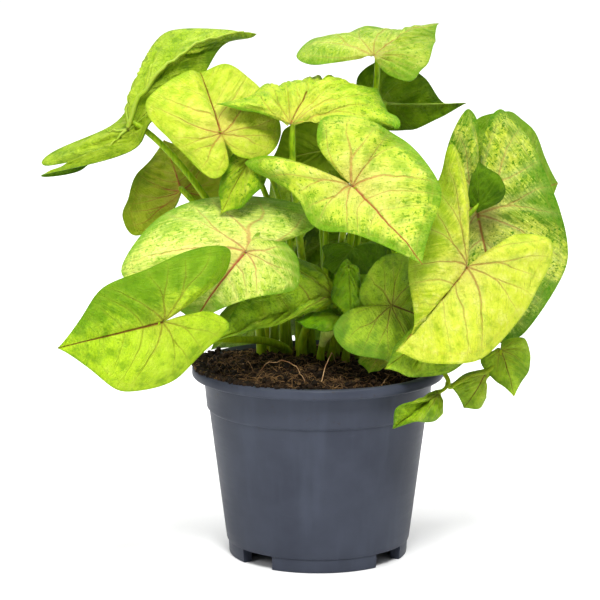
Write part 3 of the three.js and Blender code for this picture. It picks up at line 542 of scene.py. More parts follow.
LEAVES = (
    Leaf(
        "leaf_front_centre", Size.LARGE, foot=(8, 8), sinus=(15, -48, 183), tip=(46, -70, 151),
        left={"shoulder": (55, -52, 182), "widest": (39, -36, 202), "flank": (21, -37, 212),
              "lobe": (3, -38, 213)},
        right={"shoulder": (15, -68, 164), "widest": (-3, -58, 167), "flank": (-16, -42, 182),
              "lobe": (-34, -32, 192)},
        arch={"midrib": 0.08, "left": 0.12, "right": 0.1, "leftLobe": 0.1, "rightLobe": 0.1},
        bend=((8, 12, 135), (13, -18, 176)),
    ),
    Leaf(
        "leaf_front_left", Size.LARGE, foot=(-14, 12), sinus=(-70, -72, 125), tip=(-116, -86, 116),
        left={"shoulder": (-88, -88, 97), "widest": (-65, -78, 100), "flank": (-48, -68, 114),
              "lobe": (-41, -62, 121)},
        right={"shoulder": (-97, -78, 141), "widest": (-76, -68, 149), "flank": (-54, -56, 156),
              "lobe": (-40, -50, 154)},
        arch={"midrib": 0.04, "left": 0.1, "right": 0.1, "wave": 0},
        bend=((-24, 4, 108), (-50, -36, 104)),
    ),
    Leaf(
        "leaf_middle_left", Size.LARGE, foot=(-21, 17), sinus=(-33, -44, 152), tip=(-57, -50, 121),
        left={"shoulder": (-30, -56, 133), "widest": (-10, -50, 137), "flank": (-10, -44, 149),
              "lobe": (-18, -40, 158)},
        right={"shoulder": (-91, -40, 143), "widest": (-69, -22, 167), "flank": (-41, -20, 175),
              "lobe": (-6, -26, 170)},
        arch={"midrib": 0.06, "left": 0.12, "right": 0.12, "leftLobe": 0.15},
    ),
    Leaf(
        "leaf_upper_yellow", Size.LARGE, foot=(-16, 22), sinus=(-45, -26, 204), tip=(-55, -4, 230),
        left={"nearTip": (-61, -8, 231), "shoulder": (-79, -16, 219), "widest": (-68, -28, 201),
              "flank": (-58, -32, 192), "lobe": (-48, -36, 185)},
        right={"nearTip": (-43, -4, 234), "shoulder": (-31, -4, 227), "widest": (-18, -14, 208),
              "flank": (-19, -22, 199), "lobe": (-26, -28, 193)},
        arch={"midrib": 0.05, "left": 0.06, "right": 0.1},
    ),
    Leaf(
        "leaf_top_arched", Size.LARGE, foot=(-3, 12), sinus=(-13, -31, 209), tip=(7, 34, 219),
        left={"nearTip": (-3, 26, 222), "shoulder": (-15, 10, 224), "widest": (-26, -6, 223),
              "flank": (-37, -18, 220), "lobe": (-46, -26, 217), "inner": (-31, -30, 215)},
        right={"nearTip": (13, 28, 221), "shoulder": (23, 16, 221), "widest": (31, -4, 216),
              "flank": (35, -18, 211), "lobe": (34, -26, 206), "inner": (12, -24, 217)},
        arch={"midrib": 0.17, "left": 0.12, "right": 0.15, "leftLobe": 0.05, "rightLobe": 0.05},
        bend=((-6, -4, 140), (-14, -24, 180)),
    ),
    Leaf(
        "leaf_top_right", Size.LARGE, foot=(9, 20), sinus=(26, 6, 237), tip=(57, 24, 251),
        left={"shoulder": (39, 40, 247), "widest": (19, 40, 246), "flank": (-1, 34, 243),
              "lobe": (-10, 16, 235)},
        right={"shoulder": (55, 10, 243), "widest": (51, -4, 236), "flank": (46, -10, 229),
              "lobe": (42, -12, 227)},
        arch={"midrib": 0.08, "left": 0.1, "right": 0.1},
        bend=((12, 15, 150), (30, 22, 205)),
    ),
    Leaf(
        "leaf_upper_left", Size.LARGE, foot=(-27, 12), sinus=(-89, 4, 202), tip=(-29, 22, 245),
        left={"nearTip": (-44, 30, 247), "shoulder": (-71, 33, 246), "widest": (-87, 28, 224),
              "flank": (-100, 22, 203), "lobe": (-131, 14, 185), "inner": (-108, 6, 189)},
        right={"nearTip": (-44, 18, 241), "shoulder": (-56, 8, 227), "widest": (-79, -2, 206),
              "flank": (-96, -6, 190), "lobe": (-129, -6, 181), "inner": (-112, -2, 184)},
        arch={"midrib": 0.22, "left": 0.04, "right": 0.04, "leftLobe": 0.02, "rightLobe": 0.02},
        bend=((-28, 10, 140), (-62, -4, 192)),
        turned=True,
    ),
    Leaf(
        "leaf_left_behind", Size.LARGE, foot=(-24, 24), sinus=(-65, 16, 172), tip=(-74, 34, 194),
        left={"shoulder": (-54, 26, 189), "widest": (-46, 20, 180), "flank": (-45, 14, 172),
              "lobe": (-49, 12, 165), "inner": (-58, 12, 166)},
        right={"shoulder": (-86, 30, 179), "widest": (-91, 24, 169), "flank": (-93, 20, 157),
              "lobe": (-86, 18, 150), "inner": (-72, 14, 159)},
        arch={"midrib": 0.06},
    ),
    Leaf(
        "leaf_hanging_small", Size.SMALL, foot=(-9, 17), sinus=(-29, -20, 195), tip=(-45, -34, 168),
        left={"widest": (-26, -34, 181), "flank": (-23, -26, 186), "lobe": (-23, -20, 190)},
        right={"widest": (-42, -26, 190), "flank": (-38, -22, 196), "lobe": (-32, -16, 198)},
        arch={"midrib": 0.06},
    ),
    Leaf(
        "leaf_under_top", Size.SMALL, foot=(3, 17), sinus=(4, -4, 194), tip=(-22, -14, 190),
        left={"widest": (0, -12, 185), "flank": (8, -8, 185), "lobe": (13, -6, 189)},
        right={"shoulder": (-16, -10, 204), "widest": (-4, -6, 209), "flank": (5, -2, 209),
              "lobe": (12, 0, 204)},
        arch={"midrib": 0.06},
        turned=True,
    ),
    Leaf(
        "leaf_dark_right_top", Size.LARGE, foot=(15, 26), sinus=(30, 32, 212), tip=(72, 50, 210),
        left={"nearTip": (59, 48, 203), "shoulder": (48, 40, 199), "widest": (34, 30, 199),
              "flank": (23, 28, 201), "lobe": (18, 28, 205)},
        right={"nearTip": (62, 50, 210), "shoulder": (52, 46, 222), "widest": (35, 42, 232),
              "flank": (24, 40, 229), "lobe": (19, 36, 223)},
        arch={"midrib": 0.06},
    ),
    Leaf(
        "leaf_right_mottled", Size.LARGE, foot=(27, 18), sinus=(75, 2, 163), tip=(88, 6, 99),
        left={"nearTip": (99, 6, 106), "shoulder": (117, 2, 136), "widest": (114, 8, 164),
              "flank": (101, 14, 195), "lobe": (87, 14, 211), "inner": (79, 11, 202)},
        right={"shoulder": (58, 0, 127), "widest": (57, -2, 158), "flank": (61, 4, 196),
              "lobe": (70, 8, 212), "inner": (75, 7, 202)},
        arch={"midrib": 0.05, "left": 0.08, "right": 0.05},
    ),
    Leaf(
        "leaf_right_behind", Size.SMALL, foot=(29, 26), sinus=(87, 22, 167), tip=(116, 34, 173),
        left={"widest": (90, 24, 209), "flank": (77, 22, 206), "lobe": (72, 20, 196)},
        right={"widest": (97, 24, 137), "flank": (83, 20, 138), "lobe": (75, 18, 150)},
    ),
    Leaf(
        "leaf_right_curled", Size.SMALL, foot=(22, 12), sinus=(75, -8, 168), tip=(75, -6, 189),
        left={"widest": (70, -8, 173), "flank": (71, -8, 168), "lobe": (73, -8, 167)},
        right={"shoulder": (84, -10, 183), "widest": (87, -12, 177), "flank": (84, -12, 170),
              "lobe": (78, -10, 167)},
        arch={"midrib": 0.1},
        bend=((34, 8, 142), (60, -18, 152)),
    ),
    Leaf(
        "leaf_right_front", Size.LARGE, foot=(20, 3), sinus=(68, -36, 144), tip=(35, -54, 108),
        left={"nearTip": (50, -56, 103), "shoulder": (71, -52, 103), "widest": (94, -38, 122),
              "flank": (106, -26, 142), "lobe": (108, -22, 154)},
        right={"nearTip": (43, -50, 118), "shoulder": (41, -44, 142), "widest": (46, -38, 166),
              "flank": (56, -30, 187), "lobe": (61, -26, 199)},
        arch={"midrib": 0.05, "left": 0.1, "right": 0.1},
    ),
    Leaf(
        "leaf_right_under", Size.SMALL, foot=(30, 8), sinus=(57, -30, 116), tip=(30, -50, 99),
        left={"shoulder": (42, -49, 95), "widest": (60, -44, 96), "flank": (70, -34, 102),
              "lobe": (75, -28, 111)},
        right={"widest": (44, -40, 118), "flank": (54, -28, 128), "lobe": (62, -24, 128)},
        arch={"wave": 0},
    ),
    Leaf(
        "leaf_centre_right", Size.SMALL, foot=(13, -5), sinus=(34, -30, 125), tip=(52, -22, 116),
        left={"shoulder": (50, -20, 137), "widest": (39, -24, 148), "flank": (26, -28, 145),
              "lobe": (19, -32, 133)},
        right={"shoulder": (47, -34, 100), "widest": (30, -44, 102), "flank": (14, -46, 106),
              "lobe": (7, -44, 116)},
        arch={"midrib": 0.04, "left": 0.07, "right": 0.07, "leftLobe": 0.05, "rightLobe": 0.05},
    ),
    Leaf(
        "leaf_centre_right_small", Size.SMALL, foot=(26, -4), sinus=(35, -26, 109), tip=(23, -40, 95),
        left={"widest": (34, -34, 100), "flank": (39, -30, 103), "lobe": (40, -28, 106)},
        right={"widest": (20, -30, 104), "flank": (22, -26, 109), "lobe": (28, -24, 112)},
    ),
    Leaf(
        "leaf_centre_narrow", Size.SMALL, foot=(6, -1), sinus=(14, -26, 143), tip=(15, -36, 118),
        left={"shoulder": (19, -32, 128), "widest": (19, -28, 136), "flank": (18, -26, 142),
              "lobe": (15, -25, 144)},
        right={"shoulder": (6, -32, 128), "widest": (7, -28, 135), "flank": (9, -26, 141),
              "lobe": (11, -25, 144)},
        arch={"midrib": 0.05},
        bend=((8, -8, 112), (14, -27, 134)),
    ),
    Leaf(
        "leaf_centre_dark", Size.SMALL, foot=(14, 13), sinus=(16, -14, 149), tip=(6, -24, 139),
        left={"widest": (20, -19, 138), "flank": (29, -13, 138), "lobe": (32, -10, 149)},
        right={"widest": (3, -16, 145), "flank": (2, -12, 150), "lobe": (7, -13, 151)},
    ),
    Leaf(
        "leaf_low_left", Size.LARGE, foot=(-8, 7), sinus=(7, -26, 128), tip=(-49, -46, 111),
        left={"shoulder": (-21, -42, 118), "widest": (-1, -32, 123), "flank": (5, -28, 125),
              "lobe": (9, -26, 126)},
        right={"shoulder": (-24, -26, 145), "widest": (-3, -20, 143), "flank": (5, -22, 137),
              "lobe": (9, -24, 132)},
        arch={"midrib": 0.03},
    ),
    Leaf(
        "leaf_low_centre", Size.SMALL, foot=(1, -6), sinus=(9, -24, 119), tip=(-11, -36, 119),
        left={"widest": (3, -36, 114), "flank": (10, -32, 115), "lobe": (13, -28, 117)},
        right={"widest": (3, -22, 121), "flank": (9, -21, 122), "lobe": (13, -21, 121)},
        arch={"midrib": 0.05},
    ),
    Leaf(
        "leaf_back_low_left", Size.SMALL, foot=(-14, 32), sinus=(-14, 36, 112), tip=(-53, 61, 86),
        left={"widest": (-36, 44, 119), "flank": (-20, 38, 130), "lobe": (-10, 34, 131)},
        right={"widest": (-14, 64, 91), "flank": (-3, 58, 96), "lobe": (1, 48, 104)},
    ),
    Leaf(
        "leaf_back_left", Size.SMALL, foot=(-8, 28), sinus=(-37, 27, 204), tip=(-57, 57, 166),
        left={"widest": (-65, 40, 198), "flank": (-61, 31, 213), "lobe": (-50, 27, 218)},
        right={"widest": (-32, 46, 176), "flank": (-24, 36, 192), "lobe": (-27, 31, 205)},
        arch={"midrib": 0.06},
    ),
    Leaf(
        "leaf_back_centre", Size.SMALL, foot=(4, 29), sinus=(-2, 26, 188), tip=(-8, 61, 122),
        left={"widest": (15, 44, 162), "flank": (13, 32, 184), "lobe": (6, 26, 197)},
        right={"widest": (-24, 46, 160), "flank": (-22, 32, 184), "lobe": (-14, 26, 197)},
        turned=True,
    ),
    Leaf(
        "leaf_back_right", Size.SMALL, foot=(21, 24), sinus=(51, 30, 158), tip=(51, 66, 110),
        left={"widest": (29, 50, 150), "flank": (31, 40, 169), "lobe": (39, 34, 177)},
        right={"widest": (68, 48, 138), "flank": (66, 38, 160), "lobe": (59, 32, 170)},
    ),
    Leaf(
        "leaf_back_low", Size.SMALL, foot=(9, 33), sinus=(13, 40, 144), tip=(5, 72, 86),
        left={"widest": (-13, 62, 103), "flank": (-15, 46, 132), "lobe": (-5, 38, 149)},
        right={"widest": (33, 60, 110), "flank": (38, 50, 130), "lobe": (31, 42, 149)},
    ),
)


LEAFLETS = (
    Leaf(
        "leaflet_0", Size.SMALL, foot=(0, 0), sinus=(55, -34, 84), tip=(34, -54, 72),
        left={"shoulder": (44, -54, 75), "widest": (54, -46, 74), "flank": (57, -40, 76),
              "lobe": (57, -36, 80)},
        right={"nearTip": (35, -54, 81), "shoulder": (43, -52, 84), "widest": (48, -44, 85),
              "flank": (54, -36, 86), "lobe": (58, -32, 86)},
        arch={"midrib": 0.05},
    ),
    Leaf(
        "leaflet_1", Size.SMALL, foot=(0, 0), sinus=(78, -18, 90), tip=(68, -24, 75),
        left={"nearTip": (75, -22, 74), "shoulder": (78, -18, 77), "widest": (77, -16, 83),
              "flank": (79, -16, 87), "lobe": (81, -16, 89)},
        right={"shoulder": (63, -26, 84), "widest": (62, -26, 87), "flank": (69, -22, 91),
              "lobe": (76, -18, 92)},
    ),
    Leaf(
        "leaflet_2", Size.SMALL, foot=(0, 0), sinus=(86, -12, 100), tip=(92, -18, 79),
        left={"shoulder": (99, -12, 90), "widest": (100, -8, 98), "flank": (97, -8, 105),
              "lobe": (92, -8, 105)},
        right={"shoulder": (84, -18, 86), "widest": (77, -16, 93), "flank": (77, -14, 97),
              "lobe": (81, -12, 99)},
        arch={"midrib": 0.06},
    ),
)

RUNNER_PATH = (
    (40, -12, 73), (40, -12, 80), (40, -12, 88.5), (41.5, -13.5, 94), (48, -19, 97), (55, -24, 96),
    (60, -28, 90), (61, -29, 86), (66, -26, 88), (72, -22, 90), (79, -18, 91), (84, -15, 95),
    (86, -12, 100),
)
RUNNER_FORK = ((60, -28, 88), (59, -31, 86), (55, -34, 84))


class Graph:
    """Short calls that add nodes to a material or a node group."""

    def __init__(self, tree: bpy.types.NodeTree) -> None:
        """Work in one node tree."""
        self.tree = tree

    def node(self, kind: str, **settings: object) -> bpy.types.Node:
        """Add a node and set its properties.

        Args:
            kind: Its type, without the ShaderNode in front.

        Returns:
            The node.
        """
        made = self.tree.nodes.new("ShaderNode" + kind)
        for key, value in settings.items():
            setattr(made, key, value)
        return made

    def put(self, socket: bpy.types.NodeSocket, value: object) -> None:
        """Set a socket to a value, or link another socket to it.

        Args:
            socket: The input to set or to link.
            value: A number, a colour or the output to link it to.
        """
        if isinstance(value, bpy.types.NodeSocket):
            self.tree.links.new(value, socket)
        else:
            socket.default_value = value

    def math(self, operation: str, *values: object) -> bpy.types.NodeSocket:
        """Result of a math node.

        Args:
            operation: Blender's name of the operation.
            *values: Numbers or sockets that it works on, in order.

        Returns:
            Its output.
        """
        made = self.node("Math", operation=operation)
        for socket, value in zip(made.inputs, values):
            self.put(socket, value)
        return made.outputs[0]

    def span(self, value: object, low: object, high: object) -> bpy.types.NodeSocket:
        """Smooth step of a value.

        Args:
            value: What is stepped.
            low: Where the result is 0. It may be above high, and the result then falls.
            high: Where the result is 1.

        Returns:
            A share from 0 to 1.
        """
        made = self.node("MapRange", interpolation_type="SMOOTHSTEP")
        self.put(made.inputs[0], value)
        self.put(made.inputs[1], low)
        self.put(made.inputs[2], high)
        return made.outputs[0]

    def mix(self, share: object, one: object, two: object) -> bpy.types.NodeSocket:
        """Mix of two colours.

        Args:
            share: How much of the second colour shows, 0 to 1.
            one: The first colour.
            two: The second colour.

        Returns:
            The mixed colour.
        """
        made = self.node("Mix", data_type="RGBA", blend_type="MIX")
        self.put(made.inputs[0], share)
        for socket, value in ((made.inputs[6], one), (made.inputs[7], two)):
            self.put(socket, (*value, 1) if isinstance(value, tuple) and len(value) == 3 else value)
        return made.outputs[2]

    def noise(self, vector: object, scale: float, detail: float = 3, rough: float = 0.55) -> bpy.types.Node:
        """Noise texture on a vector.

        Args:
            vector: The coordinates it is drawn on.
            scale: How many of its lumps fit in one unit.
            detail: How many finer layers it has.
            rough: How strong those layers are.

        Returns:
            The texture node.
        """
        made = self.node("TexNoise")
        self.put(made.inputs["Vector"], vector)
        made.inputs["Scale"].default_value = scale
        made.inputs["Detail"].default_value = detail
        made.inputs["Roughness"].default_value = rough
        return made

    def bump(self, height: object, distance: float, strength: float) -> bpy.types.NodeSocket:
        """Normal of a finely raised surface.

        Args:
            height: The pattern that is raised.
            distance: How high it stands, in metres.
            strength: How much of it shows, 0 to 1.

        Returns:
            The normal.
        """
        made = self.node("Bump")
        made.inputs["Distance"].default_value = distance
        made.inputs["Strength"].default_value = strength
        self.put(made.inputs["Height"], height)
        return made.outputs[0]


class Face(Enum):
    """Which face of a blade a finish is for: its veins are sunk in the upper one and raised below."""

    UPPER = -1.0
    UNDER = 1.0


def new_material(name: str) -> tuple[bpy.types.Material, Graph, bpy.types.Node]:
    """Start a material.

    Args:
        name: Its name.

    Returns:
        The material, its graph and its shader.
    """
    material = bpy.data.materials.new(name)
    material.use_nodes = True
    graph = Graph(material.node_tree)
    return material, graph, material.node_tree.nodes["Principled BSDF"]


def vein_group() -> bpy.types.NodeTree:
    """Node group that draws a blade's veins from its flat and rim coordinates.

    Returns:
        The node group.
    """
    found = bpy.data.node_groups.get("blade_veins")
    if found:
        return found
    tree = bpy.data.node_groups.new("blade_veins", "ShaderNodeTree")
    for name in ("Flat", "Rim"):
        tree.interface.new_socket(name, in_out="INPUT", socket_type="NodeSocketVector")
    for name in ("Rib", "Side", "Net", "Halo", "Out", "Half", "Rise", "Aside", "Radius"):
        tree.interface.new_socket(name, in_out="OUTPUT", socket_type="NodeSocketFloat")
    g = Graph(tree)
    source = tree.nodes.new("NodeGroupInput")
    target = tree.nodes.new("NodeGroupOutput")
    wobble = g.node("VectorMath", operation="MULTIPLY_ADD")
    g.put(wobble.inputs[0], g.noise(source.outputs["Flat"], 4.5, 2).outputs["Color"])
    wobble.inputs[1].default_value = (0.05, 0.05, 0)
    shift = g.node("VectorMath", operation="SUBTRACT")
    g.put(shift.inputs[0], source.outputs["Flat"])
    shift.inputs[1].default_value = (0.025, 0.025, 0)
    g.put(wobble.inputs[2], shift.outputs[0])
    parts = g.node("SeparateXYZ")
    g.put(parts.inputs[0], wobble.outputs[0])
    plain = g.node("SeparateXYZ")
    g.put(plain.inputs[0], source.outputs["Flat"])
    rim = g.node("SeparateXYZ")
    g.put(rim.inputs[0], source.outputs["Rim"])
    out = rim.outputs[0]
    along, side = parts.outputs[0], g.math("ABSOLUTE", parts.outputs[1])
    square = g.math("MULTIPLY", side, side)
    rise = g.math("SUBTRACT", g.math("SUBTRACT", along, g.math("MULTIPLY", side, VEIN_RISE)),
                  g.math("MULTIPLY", square, VEIN_BEND))
    slope = g.math("MULTIPLY_ADD", side, 2 * VEIN_BEND, VEIN_RISE)
    steep = g.math("SQRT", g.math("MULTIPLY_ADD", slope, slope, 1.0))
    phase = g.math("DIVIDE", rise, VEIN_PITCH)
    nearest = g.math("MAXIMUM", g.math("ROUND", phase), 0.0)
    gap = g.math("MULTIPLY", g.math("ABSOLUTE", g.math("SUBTRACT", phase, nearest)), VEIN_PITCH)
    pinnate = g.math("DIVIDE", gap, steep)
    radius = g.math("SQRT", g.math("MULTIPLY_ADD", along, along, square))
    angle = g.math("MULTIPLY_ADD", radius, FAN_BEND, g.math("ARCTAN2", side, along))
    turn = g.math("DIVIDE", g.math("SUBTRACT", angle, FAN_FIRST), FAN_STEP)
    spoke = g.math("MAXIMUM", g.math("ROUND", turn), 1.0)
    off = g.math("ABSOLUTE", g.math("SUBTRACT", turn, spoke))
    fork = g.math("MULTIPLY", g.span(radius, 0.2, 0.55), 0.27)
    off = g.math("ABSOLUTE", g.math("SUBTRACT", off, fork))
    fan = g.math("MULTIPLY", g.math("MULTIPLY", off, FAN_STEP), radius)
    nearest_side = g.math("MINIMUM", pinnate, fan)
    thin = g.math("MULTIPLY_ADD", out, -0.7, 1.0)
    weight = g.math("MAXIMUM", g.math("MULTIPLY_ADD", nearest, -0.2, 1.0), 0.3)
    width = g.math("MULTIPLY", g.math("MULTIPLY", thin, weight), 0.016)
    pinnate_line = g.math("MULTIPLY", g.span(pinnate, width, g.math("MULTIPLY", width, 0.15)), weight)
    width = g.math("MULTIPLY", thin, 0.016)
    fan_line = g.span(fan, width, g.math("MULTIPLY", width, 0.15))
    fade = g.math("MULTIPLY_ADD", g.math("MULTIPLY", out, out), -0.85, 1.0)
    side_line = g.math("MULTIPLY", g.math("MAXIMUM", pinnate_line, fan_line), fade)
    collar = g.math("MULTIPLY", g.math("ABSOLUTE", g.math("SUBTRACT", out, 0.88)), 0.3)
    collar_line = g.math("MULTIPLY", g.span(collar, 0.007, 0.001), 0.14)
    back = g.math("MULTIPLY", g.math("MAXIMUM", g.math("MULTIPLY", plain.outputs[0], -1.0), 0.0), 3.0)
    middle = g.math("ADD", g.math("ABSOLUTE", plain.outputs[1]), back)
    rib_width = g.math("MULTIPLY", g.math("MULTIPLY_ADD", plain.outputs[0], -0.72, 1.0), 0.022)
    rib_line = g.span(middle, rib_width, g.math("MULTIPLY", rib_width, 0.1))
    cells = g.node("TexVoronoi", feature="DISTANCE_TO_EDGE")
    g.put(cells.inputs["Vector"], wobble.outputs[0])
    cells.inputs["Scale"].default_value = 30
    net_line = g.span(cells.outputs["Distance"], 0.09, 0.0)
    halo = g.math("MULTIPLY", g.span(g.math("MINIMUM", nearest_side, middle), 0.06, 0.0), fade)
    for name, value in (
        ("Rib", rib_line), ("Side", g.math("MAXIMUM", side_line, collar_line)), ("Net", net_line),
        ("Halo", halo), ("Out", out), ("Half", plain.outputs[1]), ("Rise", rise), ("Aside", side),
        ("Radius", radius),
    ):
        g.put(target.inputs[name], value)
    return tree


def leaf_material(look: LeafLook, face: Face) -> bpy.types.Material:
    """Finish of one face of a blade, made once for each look and face.

    Args:
        look: Its colours and pattern.
        face: The face it is for.

    Returns:
        The material.
    """
    name = f"blade_{look.name}_{face.name.lower()}"
    found = bpy.data.materials.get(name)
    if found:
        return found
    material, g, shader = new_material(name)
    flat = g.node("UVMap", uv_map="flat").outputs[0]
    veins = g.node("Group", node_tree=vein_group())
    g.put(veins.inputs["Flat"], flat)
    g.put(veins.inputs["Rim"], g.node("UVMap", uv_map="rim").outputs[0])
    place_here = g.node("TexCoord").outputs["Object"]
    out, half = veins.outputs["Out"], veins.outputs["Half"]
    cloud = g.noise(place_here, 75, 5, 0.66).outputs["Fac"]
    broad = g.noise(place_here, 30, 2).outputs["Fac"]
    rim = g.math("MULTIPLY", g.math("POWER", out, 4.0), g.span(broad, 0.3, 0.62))
    density = g.math("MULTIPLY_ADD", rim, look.rim, look.patch)
    # More green on one half: the leaf's own second tone on the two-tone look, painted shade of a half turned
    # from the light on the gold look.
    density = g.math("MULTIPLY_ADD", half, look.half_tone_and_shade, density)
    lines = g.node("CombineXYZ")
    g.put(lines.inputs[0], g.math("MULTIPLY", veins.outputs["Rise"], 44.0))
    g.put(lines.inputs[1], g.math("MULTIPLY", veins.outputs["Aside"], 8.0))
    g.put(lines.inputs[2], g.math("MULTIPLY", half, 3.0))
    drawn = g.noise(lines.outputs[0], 1, 4, 0.6).outputs["Fac"]
    spread = g.math("MULTIPLY_ADD", g.math("SUBTRACT", drawn, cloud), look.streak, cloud)
    level = g.math("ADD", spread, g.math("MULTIPLY", density, 0.5))
    patch = g.span(level, 0.58, 0.76)
    grain = g.noise(place_here, 680, 3, 0.65).outputs["Fac"]
    speck = g.span(g.math("MULTIPLY_ADD", density, 0.22, grain), 0.58, 0.68)
    speck = g.math("MULTIPLY", speck, look.speck)
    patch = g.math("MAXIMUM", g.math("MULTIPLY", patch, look.patch_strength), speck)
    tone = g.noise(place_here, 22, 3).outputs["Fac"]
    colour = g.mix(g.math("MULTIPLY", g.span(tone, 0.3, 0.75), 0.35), look.light, look.glow)
    colour = g.mix(g.math("MULTIPLY", g.span(out, 0.8, 0.1), look.core), colour, look.glow)
    pucker = g.noise(place_here, 165, 4, 0.65).outputs["Fac"]
    # Painted shade in the hollows of the puckers that the bump below raises, and a painted highlight on their
    # crowns.
    colour = g.mix(g.math("MULTIPLY", g.span(pucker, 0.52, 0.34), 0.5 * look.pucker_shade_and_highlight), colour, look.dark)
    colour = g.mix(g.math("MULTIPLY", g.span(pucker, 0.52, 0.68), 0.5 * look.pucker_shade_and_highlight), colour, look.glow)
    if look.pale:
        fine_lines = g.node("VectorMath", operation="SCALE")
        g.put(fine_lines.inputs[0], lines.outputs[0])
        fine_lines.inputs["Scale"].default_value = 1.9
        whitish = g.span(g.noise(fine_lines.outputs[0], 1, 3, 0.6).outputs["Fac"], 0.5, 0.68)
        colour = g.mix(g.math("MULTIPLY", whitish, look.pale), colour, (0.84, 0.87, 0.34))
    colour = g.mix(patch, colour, look.dark)
    colour = g.mix(g.math("MULTIPLY", veins.outputs["Halo"], look.halo), colour, look.glow)
    colour = g.mix(g.math("MULTIPLY", veins.outputs["Net"], look.net), colour, look.dark)
    colour = g.mix(g.math("MULTIPLY", g.span(out, 0.965, 0.995), 0.45), colour, look.dark)
    joint = g.math("MULTIPLY", g.span(veins.outputs["Radius"], 0.3, 0.02), look.blush)
    colour = g.mix(joint, colour, tuple(one * 0.5 + two * 0.5 for one, two in zip(look.vein, look.glow)))
    colour = g.mix(g.math("MULTIPLY", veins.outputs["Side"], look.side_strength), colour, look.vein)
    colour = g.mix(g.math("MULTIPLY", veins.outputs["Rib"], look.vein_strength), colour, look.vein)
    g.put(shader.inputs["Base Color"], colour)
    rough = g.math("MULTIPLY_ADD", cloud, 0.16, look.rough - 0.08)
    g.put(shader.inputs["Roughness"], rough)
    shader.inputs["Specular IOR Level"].default_value = look.gloss
    shader.inputs["Subsurface Weight"].default_value = 0.3
    shader.inputs["Subsurface Radius"].default_value = (0.8, 1.0, 0.25)
    shader.inputs["Subsurface Scale"].default_value = 0.0016
    raised = g.math("MAXIMUM", veins.outputs["Side"], veins.outputs["Rib"])
    height = g.math("MULTIPLY_ADD", veins.outputs["Net"], 0.3, raised)
    soft = g.math("ADD", g.math("MULTIPLY", pucker, 4.2), g.math("MULTIPLY", drawn, 2.6))
    height = g.math("MULTIPLY_ADD", height, face.value, soft)
    g.put(shader.inputs["Normal"], g.bump(height, 0.0007, 0.8))
    return material


def rib_material(look: LeafLook) -> bpy.types.Material:
    """Finish of the raised ribs under a blade.

    Args:
        look: The finish of the blade that they run under.

    Returns:
        The material.
    """
    name = f"rib_{look.name}"
    found = bpy.data.materials.get(name)
    if found:
        return found
    material, g, shader = new_material(name)
    spot = g.node("TexCoord").outputs["Object"]
    tone = g.noise(spot, 180, 3).outputs["Fac"]
    g.put(shader.inputs["Base Color"], g.mix(g.span(tone, 0.35, 0.7), look.vein, look.light))
    shader.inputs["Roughness"].default_value = 0.45
    shader.inputs["Subsurface Weight"].default_value = 0.2
    shader.inputs["Subsurface Scale"].default_value = 0.001
    g.put(shader.inputs["Normal"], g.bump(tone, 0.0002, 0.4))
    return material


def stalk_material(look: StalkLook) -> bpy.types.Material:
    """Finish of a stalk: long fine streaks, darker and ruddier towards the soil, partly its own colour and
    partly painted shade among the crowded stalks.

    Args:
        look: Its colours.

    Returns:
        The material.
    """
    name = f"stalk_{look.name}"
    found = bpy.data.materials.get(name)
    if found:
        return found
    material, g, shader = new_material(name)
    spot = g.node("TexCoord").outputs["Object"]
    stretch = g.node("Mapping")
    g.put(stretch.inputs[0], spot)
    stretch.inputs["Scale"].default_value = (1, 1, 0.12)
    streak = g.noise(stretch.outputs[0], 900, 3).outputs["Fac"]
    blotch = g.noise(spot, 120, 3).outputs["Fac"]
    height = g.node("SeparateXYZ")
    g.put(height.inputs[0], spot)
    # Towards the soil: the stalk's own duller foot, with painted shade of the crowded stalks there.
    low = g.span(height.outputs[2], 0.125, 0.086)
    colour = g.mix(g.span(streak, 0.35, 0.7), look.light, look.dark)
    colour = g.mix(g.math("MULTIPLY", g.span(blotch, 0.5, 0.7), 0.35), colour, look.blush)
    colour = g.mix(g.math("MULTIPLY", low, look.foot_tint_and_shade_share), colour, look.foot)
    g.put(shader.inputs["Base Color"], colour)
    shader.inputs["Roughness"].default_value = 0.42
    shader.inputs["Specular IOR Level"].default_value = 0.2
    shader.inputs["Subsurface Weight"].default_value = 0.2
    shader.inputs["Subsurface Scale"].default_value = 0.001
    g.put(shader.inputs["Normal"], g.bump(streak, 0.0002, 0.35))
    return material


@dataclass(frozen=True)
class Dress:
    """The finishes of a leaf, how strong its relief is, and whether a papery sheath clasps its stalk."""

    upper: LeafLook
    under: LeafLook
    stalk: StalkLook
    relief: float = 1.0
    sheath: bool = False


